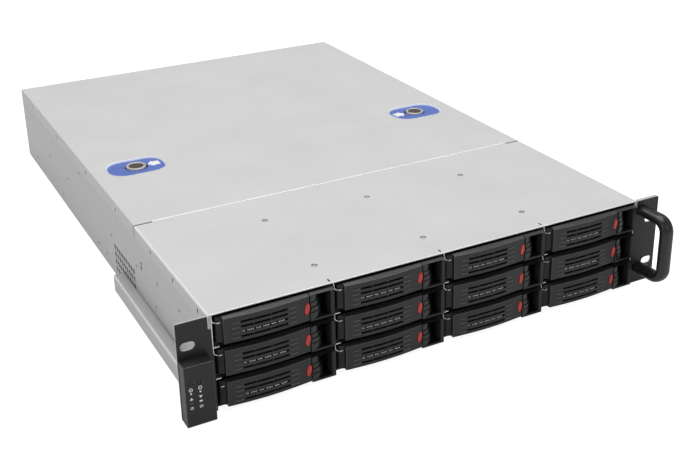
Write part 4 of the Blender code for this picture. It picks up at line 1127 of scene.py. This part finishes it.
def make_bezel_mesh():
    """The bezel: a pocket behind the lever and the frame round the finger recess, in the darker black that
    paints shade, its rounded edges in a lighter black as a painted highlight.
    """
    left, right = BEZEL_LEFT - HALF_PITCH, BEZEL_RIGHT - HALF_PITCH
    frame_left = FRAME_LEFT - HALF_PITCH
    half = BEZEL_HALF_HEIGHT
    plan = [(left, BEZEL_FRONT), (frame_left, BEZEL_FRONT), (frame_left, FRAME_FRONT), (right, FRAME_FRONT),
            (right, BEZEL_BACK), (left, BEZEL_BACK)]
    bezel = prism_mesh(plan, "Z", -half, half)
    pocket = box_mesh([from_left([(POCKET[0], -10 * MM, -POCKET[3] / 2),
                                  (POCKET[1], POCKET[2], POCKET[3] / 2)])])
    mouth = FRAME_FRONT - MM
    near, far = RECESS_LEFT - HALF_PITCH, RECESS_RIGHT - HALF_PITCH
    outline = [(near, mouth), (near, RECESS_BACK), (far, RECESS_BACK), (far, FRAME_FRONT + 2.4 * MM),
               (far + 1.2 * MM, FRAME_FRONT), (far + 1.7 * MM, mouth)]
    recess = prism_mesh(outline, "Z", RECESS_LOW, RECESS_HIGH)
    spare = 2 * MM
    slope = (RIDGE_Z - FACE_TOP) / (RIDGE_V - FRAME_FRONT)
    top_cut = [(FRAME_FRONT - spare, FACE_TOP - slope * spare), (RIDGE_V, RIDGE_Z),
               (RIDGE_V + 0.5 * MM, FRAME_LEDGE), (BEZEL_FRONT, FRAME_LEDGE), (BEZEL_FRONT, half + spare),
               (FRAME_FRONT - spare, half + spare)]
    low_cut = [(FRAME_FRONT - spare, -half - spare), (BEZEL_FRONT, -half - spare), (BEZEL_FRONT, FRAME_LOW),
               (FRAME_FRONT - spare, FRAME_LOW)]
    trims = [prism_mesh(trim, "X", frame_left - MM, right + MM) for trim in (top_cut, low_cut)]
    vents = box_mesh([from_left([(u * MM, POCKET[2] - MM, -8 * MM),
                                 ((u + 3.0) * MM, BEZEL_BACK + MM, 8 * MM)]) for u in range(12, 78, 6)])
    notch = prism_mesh(button_outline(BUTTON_CLEARANCE), "Y", -20 * MM, BEZEL_FRONT - MM)
    mesh = cut(bezel, pocket, recess, *trims, vents, notch)
    return rework(mesh, "bezel", SHADED_BLACK, 0.28 * MM, 2, edging=BLACK_EDGE_HIGHLIGHT)


def make_liner_mesh():
    """A near-black lining on the recess's back, floor, roof and right wall: painted shade inside the recess.
    """
    near, far = RECESS_LEFT - HALF_PITCH, RECESS_RIGHT - HALF_PITCH
    thin = 0.3 * MM
    shape = bmesh.new()
    add_box(shape, (near, RECESS_BACK - thin, RECESS_LOW), (far, RECESS_BACK, RECESS_HIGH))
    add_box(shape, (near, FRAME_FRONT + MM, RECESS_LOW), (far, RECESS_BACK - thin, RECESS_LOW + thin))
    add_box(shape, (near, FRAME_FRONT + MM, RECESS_HIGH - thin), (far, RECESS_BACK - thin, RECESS_HIGH))
    add_box(shape, (far - thin, MM, RECESS_LOW + thin), (far, RECESS_BACK - thin, RECESS_HIGH - thin))
    return to_mesh(shape, "liner", BLACK_AND_SHADE)


def make_guard_mesh():
    """The finned, rounded guard on the left of the recess, beside the button."""
    centre = (FRAME_LEFT + 0.2 * MM, BEZEL_FRONT)
    depth = BEZEL_FRONT - FRAME_FRONT + 0.25 * MM
    shape = bmesh.new()
    for low, high, reach in GUARD_FINS:
        wall = arc(centre, (reach * MM - centre[0], depth), -90, 0, 14)
        add_prism(shape, from_left([centre] + wall), "Z", low * MM, high * MM)
    notch = prism_mesh(button_outline(BUTTON_CLEARANCE), "Y", -20 * MM, BEZEL_FRONT - MM)
    return rework(cut(to_mesh(shape, "guard"), notch), "guard", GUARD_BLACK, 0.25 * MM, 2)


def make_core_mesh():
    """A near-black core between the guard's fins: painted shade in the slits."""
    centre = (RECESS_LEFT + 0.1 * MM, BEZEL_FRONT)
    depth = BEZEL_FRONT - FRAME_FRONT - 0.9 * MM
    shape = bmesh.new()
    for upper, lower in zip(GUARD_FINS, GUARD_FINS[1:]):
        wide = min(upper[2], lower[2]) * MM - 1.1 * MM - centre[0]
        wall = arc(centre, (wide, depth), -90, 0, 10)
        add_prism(shape, from_left([centre] + wall), "Z", (lower[1] - 0.3) * MM, (upper[0] + 0.3) * MM)
    return to_mesh(shape, "core", BLACK_AND_SHADE)


def button_outline(clearance=0.0):
    """The release button's leaning oval, in the bay's X and Z."""
    radii = (BUTTON_SIZE[1] / 2 + clearance, BUTTON_SIZE[0] / 2 + clearance)
    oval = arc((BUTTON_U - HALF_PITCH, 0.0), radii, 0, 348, 29)
    return [(x + BUTTON_LEAN * z, z) for x, z in oval]


def make_button_mesh():
    """The oval release button: a soft edge and a face that slants back to the right."""
    centre = BUTTON_U - HALF_PITCH
    shape = bmesh.new()
    rings = []
    levels = [(1.0, None), (1.0, 0.9 * MM), (0.95, 0.40 * MM), (0.84, 0.10 * MM), (0.6, 0.0)]
    for scale, set_back in levels:
        ring = []
        for x, z in button_outline():
            offset = (x - centre) * scale
            face = BUTTON_FRONT_V + BUTTON_SLANT * offset
            v = BUTTON_BACK_V if set_back is None else face + set_back
            ring.append(shape.verts.new((centre + offset, v, z * scale)))
        rings.append(ring)
    add_skin(shape, rings)
    return to_mesh(shape, "release", RED)


def wire_mesh(name, path, radius):
    """A wire in the pale zinc, bright partly as painted highlight, through points in millimetres from the
    bay's left edge and middle.
    """
    shape = bmesh.new()
    add_sweep(shape, from_left([mm(*point) for point in path]), radius, 8)
    return to_mesh(shape, name, HIGHLIGHT_ZINC)


# The clip runs down the bezel's left edge, then aslant to the hinge; the spring crosses the barrel.
CLIP_PATH = ((-0.2, -1.0, 12.4), (-0.2, -1.0, 10.6), (0.2, -1.0, 9.6), (1.0, -0.9, 8.6), (2.0, -0.7, 7.8),
             (3.1, -0.5, 7.2))
SPRING_PATH = ((3.9, -0.95, 6.95), (5.3, -0.95, 6.9), (6.7, -0.95, 6.9))
GLINT_COUNT = 26


def make_glint_mesh():
    """Short pale zinc bars in the third row of slots only: a painted glint, standing for screening mesh that
    catches the light there.
    """
    shape = bmesh.new()
    z = SLOT_ROWS[2]
    for i in range(GLINT_COUNT):
        if i % 9 in (2, 7):
            continue
        u = (22.8 + i * 1.47) * MM
        front = lever_front(u) + 0.7 * MM
        low = (u - HALF_PITCH, front, z - 0.85 * MM)
        add_box(shape, low, (low[0] + 1.05 * MM, front + 0.4 * MM, z + 0.05 * MM))
    return to_mesh(shape, "glint", HIGHLIGHT_ZINC, 0.1 * MM, 1)


DRIVE_FRONT_V = 18.0 * MM
DRIVE_LENGTH = 147.0 * MM
DRIVE_HALF = 50.8 * MM
RAIL_LOW = -13.25 * MM
RAIL_TOP = 7.75 * MM
RAIL_END_V = 172.0 * MM
RAIL_SHEET = 1.2 * MM
RAIL_CORNER = 6 * MM
DRIVE_LOW = RAIL_LOW + 0.6 * MM
DRIVE_TOP = DRIVE_LOW + 24.2 * MM
LID_SCREWS = ((-44, 26), (44, 26), (-44, 90), (44, 90), (-44, 156), (44, 156), (0, 30))


def make_rails_mesh():
    """The tray's two side rails with oblong and round holes."""
    start, end, corner = BEZEL_BACK - 0.2 * MM, RAIL_END_V, RAIL_CORNER
    outline = [(start, RAIL_LOW), (end - corner, RAIL_LOW), (end, RAIL_LOW + corner),
               (end, RAIL_TOP - corner), (end - corner, RAIL_TOP), (start, RAIL_TOP)]
    middle = (RAIL_LOW + RAIL_TOP) / 2
    holes = [stadium((v * MM, middle + 3 * MM), 26 * MM, 6 * MM, 6) for v in (40, 86, 132)]
    holes += [circle((v * MM, middle - 5 * MM), 1.8 * MM, 12) for v in (28, 62, 108, 150)]
    shape = bmesh.new()
    for side in (-1, 1):
        add_plate(shape, [outline] + holes, "X", *span(side, DRIVE_HALF, DRIVE_HALF + RAIL_SHEET))
    return to_mesh(shape, "rails", ZINC, 0.15 * MM, 1)


def make_drive_mesh():
    """A 3.5-inch drive's cast base."""
    edge = DRIVE_HALF - 0.15 * MM
    outline = rounded((-edge, DRIVE_FRONT_V), (edge, DRIVE_FRONT_V + DRIVE_LENGTH), 3 * MM, 4)
    shape = bmesh.new()
    add_prism(shape, outline, "Z", DRIVE_LOW, DRIVE_TOP)
    return to_mesh(shape, "drive", CAST, 0.5 * MM)


def make_lid_mesh():
    """The drive's pressed steel lid with its raised middle and seven screws."""
    top = DRIVE_TOP
    edge = DRIVE_HALF - 2.0 * MM
    start, end = DRIVE_FRONT_V + 2 * MM, DRIVE_FRONT_V + DRIVE_LENGTH - 2 * MM
    disc = circle((4 * MM, DRIVE_FRONT_V + 92 * MM), 42 * MM, 48)
    shape = bmesh.new()
    add_prism(shape, rounded((-edge, start), (edge, end), 5 * MM, 6), "Z", top, top + 0.7 * MM)
    add_prism(shape, disc, "Z", top + 0.6 * MM, top + 1.1 * MM)
    for x, v in LID_SCREWS:
        add_screw(shape, (x * MM, v * MM, top + 0.65 * MM), (0, 0, 1), 1.9 * MM, 0.55 * MM)
    return to_mesh(shape, "lid", SUPPLY, 0.15 * MM, 1, limit=60)


def make_bays():
    """Twelve bays that share their meshes; one bay shows no clip in the photograph."""
    tray, lever, release = "tray", "lever", "release_button"
    black, zinc = "bezel_black", "cage_zinc"
    pieces = (("bezel", make_bezel_mesh(), tray, black), ("liner", make_liner_mesh(), tray, black),
              ("guard", make_guard_mesh(), tray, black), ("core", make_core_mesh(), tray, black),
              ("rails", make_rails_mesh(), tray, zinc), ("drive", make_drive_mesh(), tray, zinc),
              ("lid", make_lid_mesh(), tray, zinc), ("handle", make_lever_mesh(), lever, black),
              ("hinge", make_hinge_mesh(), lever, black), ("ribs", make_rib_mesh(), lever, black),
              ("clip", wire_mesh("clip", CLIP_PATH, 0.42 * MM), tray, zinc),
              ("spring", wire_mesh("spring", SPRING_PATH, 0.48 * MM), lever, zinc),
              ("glint", make_glint_mesh(), lever, zinc),
              ("release", make_button_mesh(), release, "button_red"))
    for bay in BAYS:
        for piece, mesh, body, slot in pieces:
            if (piece, bay) == ("clip", CLIPLESS_BAY):
                continue
            node = f"{body}_{bay}"
            stands_for = (node,) if piece in ("bezel", "handle", "release") else ()
            put(f"{piece}_{bay}", mesh, node, stands_for, bay_place(bay))


def make_cage_edges():
    """Rounded beads in the pale zinc along the cage's dividers and lips: painted highlights on their edges."""
    low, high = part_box("drive_cage")
    columns = sorted({round(bay_place(bay).x, 5) for bay in BAYS})
    rows = sorted({round(bay_place(bay).z, 5) for bay in BAYS})
    dividers = [columns[0] - HALF_PITCH] + [x + HALF_PITCH for x in columns]
    levels = [(a + b) / 2 for a, b in zip(rows, rows[1:])]
    shape = bmesh.new()
    for i, x in enumerate(dividers):
        foot = 56 * MM if i == 0 else low.z + MM
        add_sweep(shape, [(x, FRONT, foot), (x, FRONT, high.z - MM)], 0.5 * MM, 8)
        for z in levels:
            if z < foot:
                continue
            left = x if i == 0 else x - 5.3 * MM
            right = x if i == len(dividers) - 1 else x + 5.3 * MM
            add_sweep(shape, [(left, FRONT, z), (right, FRONT, z)], 0.5 * MM, 8)
    put("cage_edges", to_mesh(shape, "cage_edges", HIGHLIGHT_ZINC), "chassis")
    refinish("drive_cage", ZINC)


make_bays()
make_cage_edges()

# ---------------------------------------------------------------- inside

refinish("backplane", BOARD)
refinish("fan_wall", FAN)
for number in (1, 2, 3):
    refinish(f"fan_rotor_{number}", FAN)
refinish("main_board", BOARD)
refinish("processor_cooler", ALUMINIUM)


# ---------------------------------------------------------------- rear

# Places on the rear wall in millimetres, x to the right and z up.
CARD_SLOTS = [-200 + i * 20.3 for i in range(5)]
PORT_WINDOW = ((-34, 6), (124, 47))
EXHAUST_ROWS, EXHAUST_COLUMNS = 5, 22
REAR_SCREWS = ((-208, 83.2), (-100, 83.2), (0, 83.2), (122, 83.2), (-208, 4), (-60, 4))
# Each port: its kind, left x, low z, width and height.
PORTS = (("metal", -30, 10.5, 15, 12.5), ("metal", -30, 25, 15, 12.5), ("pair", -8, 11, 14.5, 14),
         ("pair", -8, 27, 14.5, 14), ("net", 13, 11, 16.5, 14), ("net", 33, 11, 16.5, 14),
         ("net", 13, 27, 16.5, 14), ("net", 33, 27, 16.5, 14), ("video", 56, 11, 30.5, 12.5),
         ("serial", 56, 28, 30.5, 12.5), ("net", 94, 12, 16.5, 14), ("pair", 95, 29, 14.5, 13))
PORT_DEPTH = 14 * MM
BOARD_TOP = 9.6 * MM
CHIPS = ((-150, 30), (-150, 60), (90, 40), (90, 80), (90, 120), (60, 180))


def make_rear_wall():
    """The rear wall with its card slots, vents, port window and supply windows."""
    lower_low, lower_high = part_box("power_supply_lower")
    upper_low, upper_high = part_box("power_supply_upper")
    clear, under = 1.0 * MM, 0.2 * MM
    loops = [rectangle((-HALF + SHEET, SHEET), (HALF - SHEET, TOP - SHEET - 2 * GAP)),
             rectangle((lower_low.x - clear, lower_low.z - under),
                       (lower_high.x + clear, lower_low.z + 40.4 * MM)),
             rectangle((upper_low.x - clear, upper_low.z - under),
                       (upper_high.x + clear, upper_high.z + 0.4 * MM)),
             rectangle(mm(*PORT_WINDOW[0]), mm(*PORT_WINDOW[1]))]
    loops += [rounded((x * MM, 8 * MM), (x * MM + 12.5 * MM, 80 * MM), 1.5 * MM) for x in CARD_SLOTS]
    for row in range(EXHAUST_ROWS):
        stagger = 3.2 * MM if row % 2 else 0.0
        for column in range(EXHAUST_COLUMNS):
            centre = ((-28 + column * 6.4) * MM + stagger, (55 + row * 5.6) * MM)
            loops.append(circle(centre, 2.2 * MM, 6))
    shape = bmesh.new()
    add_plate(shape, loops, "Y", REAR - SHEET, REAR)
    # The wall takes the darker copy of the case steel: painted shade.
    finish_piece(shape, "rear_wall", SHADED_STEEL)
    shape = bmesh.new()
    for x in mm(*CARD_SLOTS):
        loops = [rounded((x - 1.6 * MM, 6 * MM), (x + 14.2 * MM, 82 * MM), 1.2 * MM)]
        loops += [stadium((x + 6.2 * MM, (15 + j * 7) * MM), 7.5 * MM, 2.4 * MM, 5) for j in range(9)]
        add_plate(shape, loops, "Y", REAR - 2.0 * MM, REAR - 1.15 * MM)
    finish_piece(shape, "card_covers", ZINC)
    shape = bmesh.new()
    for x, z in REAR_SCREWS:
        add_screw(shape, (x * MM, REAR, z * MM), (0, 1, 0), 2.6 * MM, 1.4 * MM)
    finish_piece(shape, "rear_screws", ZINC)


def port_outline(x, z, width, height, inset_x, inset_z, radius):
    """A port's rounded outline, set in from its box; all in millimetres."""
    return rounded(mm(x + inset_x, z + inset_z), mm(x + width - inset_x, z + height - inset_z), radius * MM)


def make_ports():
    """The port field: a pressed shield, metal shells round each port, and dark mouths."""
    shield, shells, mouths, blues = bmesh.new(), bmesh.new(), bmesh.new(), bmesh.new()
    loops = [rectangle(mm(-33.6, 6.4), mm(123.6, 46.6))]
    loops += [rounded(mm(x, z), mm(x + width, z + height), 0.8 * MM) for _, x, z, width, height in PORTS]
    loops += [circle(mm(116 + i % 2 * 3, 14 + i * 6), 1.2 * MM, 10) for i in range(5)]
    add_plate(shield, loops, "Y", REAR - 0.7 * MM, REAR - 0.35 * MM)
    for kind, *box in PORTS:
        x, z, width, height = box
        slim = kind in ("video", "serial")
        rim = 1.6 if slim else 0.9
        inner = port_outline(*box, rim, rim, 0.6)
        add_plate(shells, [port_outline(*box, 0.3, 0.3, 0.7), inner], "Y", REAR - PORT_DEPTH, REAR - 0.1 * MM)
        add_prism(mouths, inner, "Y", REAR - PORT_DEPTH, REAR - 11 * MM)
        if kind == "pair":
            for part in (0.3, 0.75):
                tongue = (z + height * part) * MM
                add_box(blues, ((x + 2.2) * MM, REAR - 12 * MM, tongue - 1.0 * MM),
                        ((x + width - 2.2) * MM, REAR - 1.2 * MM, tongue + 0.8 * MM))
        elif slim:
            add_prism(blues if kind == "video" else mouths, port_outline(*box, 4.5, 2.2, 2.2), "Y",
                      REAR - 11 * MM, REAR - 1.5 * MM)
        elif kind == "net":
            add_box(mouths, ((x + 4.5) * MM, REAR - 11 * MM, (z + height - 3.4) * MM),
                    ((x + width - 4.5) * MM, REAR - 1.0 * MM, (z + height - 1.2) * MM))
    finish_piece(shield, "port_shield", SUPPLY)
    finish_piece(shells, "port_shells", ZINC)
    finish_piece(mouths, "port_mouths", BLACK_AND_SHADE, slot="fan_black")
    finish_piece(blues, "port_tongues", PORT_BLUE, slot="latch_blue", bevel=0.15 * MM, segments=1)


def make_board():
    """The main board with its standoffs, memory and chips."""
    low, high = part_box("main_board")
    shape = bmesh.new()
    add_box(shape, (-180 * MM, low.y, 8 * MM), (125 * MM, high.y - 2.1 * MM, BOARD_TOP))
    for x in (-170, -27.5, 115):
        for y in (low.y + 10 * MM, high.y - 32.1 * MM):
            add_lathe(shape, [mm(3, 0.0), mm(3, 6.7)], (x * MM, y, 1.3 * MM), (0, 0, 1), 6)
    finish_piece(shape, "board_plate", BOARD, "chassis", "board_green", ("main_board",))
    shape = bmesh.new()
    for i in range(8):
        x = (-30 + i * 9.5) * MM
        add_box(shape, (x, low.y + 20 * MM, BOARD_TOP), (x + 1.4 * MM, low.y + 153 * MM, 41 * MM))
    for x, y in CHIPS:
        add_box(shape, (x * MM, low.y + y * MM, BOARD_TOP),
                ((x + 18) * MM, low.y + (y + 18) * MM, 12.4 * MM))
    finish_piece(shape, "board_parts", BLACK_AND_SHADE, "chassis", "board_green", bevel=0.2 * MM, segments=1)


SUPPLY_FACE = REAR + 0.3 * MM
INLET_BACK = REAR - 14 * MM
SUPPLY_HOLE = 1.85 * MM
SUPPLY_HOLE_RINGS = ((4.5, 6), (9.0, 12), (13.5, 18))
BOW_BEND = 5 * MM


def inset_outline(low, high, inset, radius, steps=4):
    """A rounded rectangle set in from two corners."""
    return rounded((low[0] + inset, low[1] + inset), (high[0] - inset, high[1] - inset), radius, steps)


def make_supply_case(label, low, high, inlet):
    """A supply's case and its perforated face, open at the mains inlet."""
    node = f"power_supply_{label}"
    shape = bmesh.new()
    add_box(shape, low, (high.x, SUPPLY_FACE - 1.7 * MM, high.z))
    opening = box_mesh([((inlet[0][0], INLET_BACK, inlet[0][1]), (inlet[1][0], REAR + 5 * MM, inlet[1][1]))])
    case = rework(cut(to_mesh(shape, "case"), opening), "supply_case", SUPPLY, 0.4 * MM)
    put(f"supply_case_{label}", case, node, (node,))
    loops = [inset_outline((low.x, low.z), (high.x, high.z), 0.3 * MM, MM), rounded(*inlet, 2.4 * MM)]
    centre = ((low.x + high.x) / 2 - 18.5 * MM, low.z + (high.z - low.z) / 2)
    for ring, count in SUPPLY_HOLE_RINGS:
        loops += [circle(spot, SUPPLY_HOLE, 8) for spot in circle(centre, ring * MM, count)]
    loops.append(circle(centre, SUPPLY_HOLE, 8))
    shape = bmesh.new()
    add_plate(shape, loops, "Y", SUPPLY_FACE - 1.1 * MM, SUPPLY_FACE)
    finish_piece(shape, f"supply_face_{label}", SUPPLY, node, "supply_zinc")


def make_supply_inlet(label, low, high, inlet):
    """The mains inlet's shroud and pins, and the dark plate behind the perforated face, which paints shade
    behind its holes.
    """
    node = f"power_supply_{label}"
    shape = bmesh.new()
    shroud = [inset_outline(*inlet, 0.4 * MM, 2.2 * MM), inset_outline(*inlet, 2.4 * MM, 2.0 * MM)]
    add_plate(shape, shroud, "Y", REAR - 13.5 * MM, SUPPLY_FACE + 0.3 * MM)
    add_box(shape, (inlet[0][0] + 2 * MM, REAR - 13.8 * MM, inlet[0][1] + 2 * MM),
            (inlet[1][0] - 2 * MM, REAR - 12 * MM, inlet[1][1] - 2 * MM))
    add_box(shape, (low.x + 1.5 * MM, SUPPLY_FACE - 1.65 * MM, low.z + 1.5 * MM),
            ((low.x + high.x) / 2 + 2.5 * MM, SUPPLY_FACE - 1.15 * MM, high.z - 1.5 * MM))
    finish_piece(shape, f"supply_inlet_{label}", BLACK_AND_SHADE, node, "fan_black", bevel=0.2 * MM, segments=1)
    shape = bmesh.new()
    middle = ((inlet[0][0] + inlet[1][0]) / 2, (inlet[0][1] + inlet[1][1]) / 2)
    for dx, dz in ((-6, -1.5), (0, 2.5), (6, -1.5)):
        add_box(shape, (middle[0] + (dx - 1) * MM, REAR - 12.2 * MM, middle[1] + (dz - 2) * MM),
                (middle[0] + (dx + 1) * MM, REAR - 3 * MM, middle[1] + (dz + 2) * MM))
    finish_piece(shape, f"supply_pins_{label}", CHROME, node, "button_chrome", bevel=0.3 * MM)


def make_supply_grip(label, low, high):
    """A supply's bow, lamp and latch."""
    node = f"power_supply_{label}"
    x = (low.x + high.x) / 2
    left, right = x - 29.5 * MM, x - 3.5 * MM
    level = low.z + (high.z - low.z) / 2
    reach = high.y - 2.5 * MM
    radii = (BOW_BEND, BOW_BEND)
    path = [(left, SUPPLY_FACE - MM), (left, reach - BOW_BEND)]
    path += arc((left + BOW_BEND, reach - BOW_BEND), radii, 180, 90, 6)
    path += arc((right - BOW_BEND, reach - BOW_BEND), radii, 90, 0, 6) + [(right, SUPPLY_FACE - MM)]
    shape = bmesh.new()
    add_sweep(shape, [(px, py, level) for px, py in path], 2.5 * MM, 16)
    finish_piece(shape, f"supply_bow_{label}", HANDLE_PAINT, node, "fan_black")
    shape = bmesh.new()
    profile = [mm(1.6, -0.5), mm(1.6, 0.5), mm(0.9, 1.1), mm(0.0, 1.25)]
    add_lathe(shape, profile, (x + 33.5 * MM, SUPPLY_FACE, low.z + 33.0 * MM), (0, 1, 0), 20)
    finish_piece(shape, f"supply_lamp_{label}", LAMP_GREEN, node, "board_green")
    shape = bmesh.new()
    tab = rounded((x + 31.6 * MM, low.z + 6 * MM), (x + 35.4 * MM, low.z + 26 * MM), 1.2 * MM)
    add_prism(shape, tab, "Y", SUPPLY_FACE - MM, SUPPLY_FACE + 3.2 * MM)
    finish_piece(shape, f"supply_latch_{label}", LAMP_RED, node, "button_red", bevel=0.5 * MM)


def make_supplies():
    """The two slide-in supplies."""
    for label in ("lower", "upper"):
        low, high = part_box(f"power_supply_{label}")
        x = (low.x + high.x) / 2
        inlet = ((x + 4 * MM, low.z + 10 * MM), (x + 30 * MM, low.z + 29 * MM))
        make_supply_case(label, low, high, inlet)
        make_supply_inlet(label, low, high, inlet)
        make_supply_grip(label, low, high)


make_rear_wall()
make_ports()
make_board()
make_supplies()
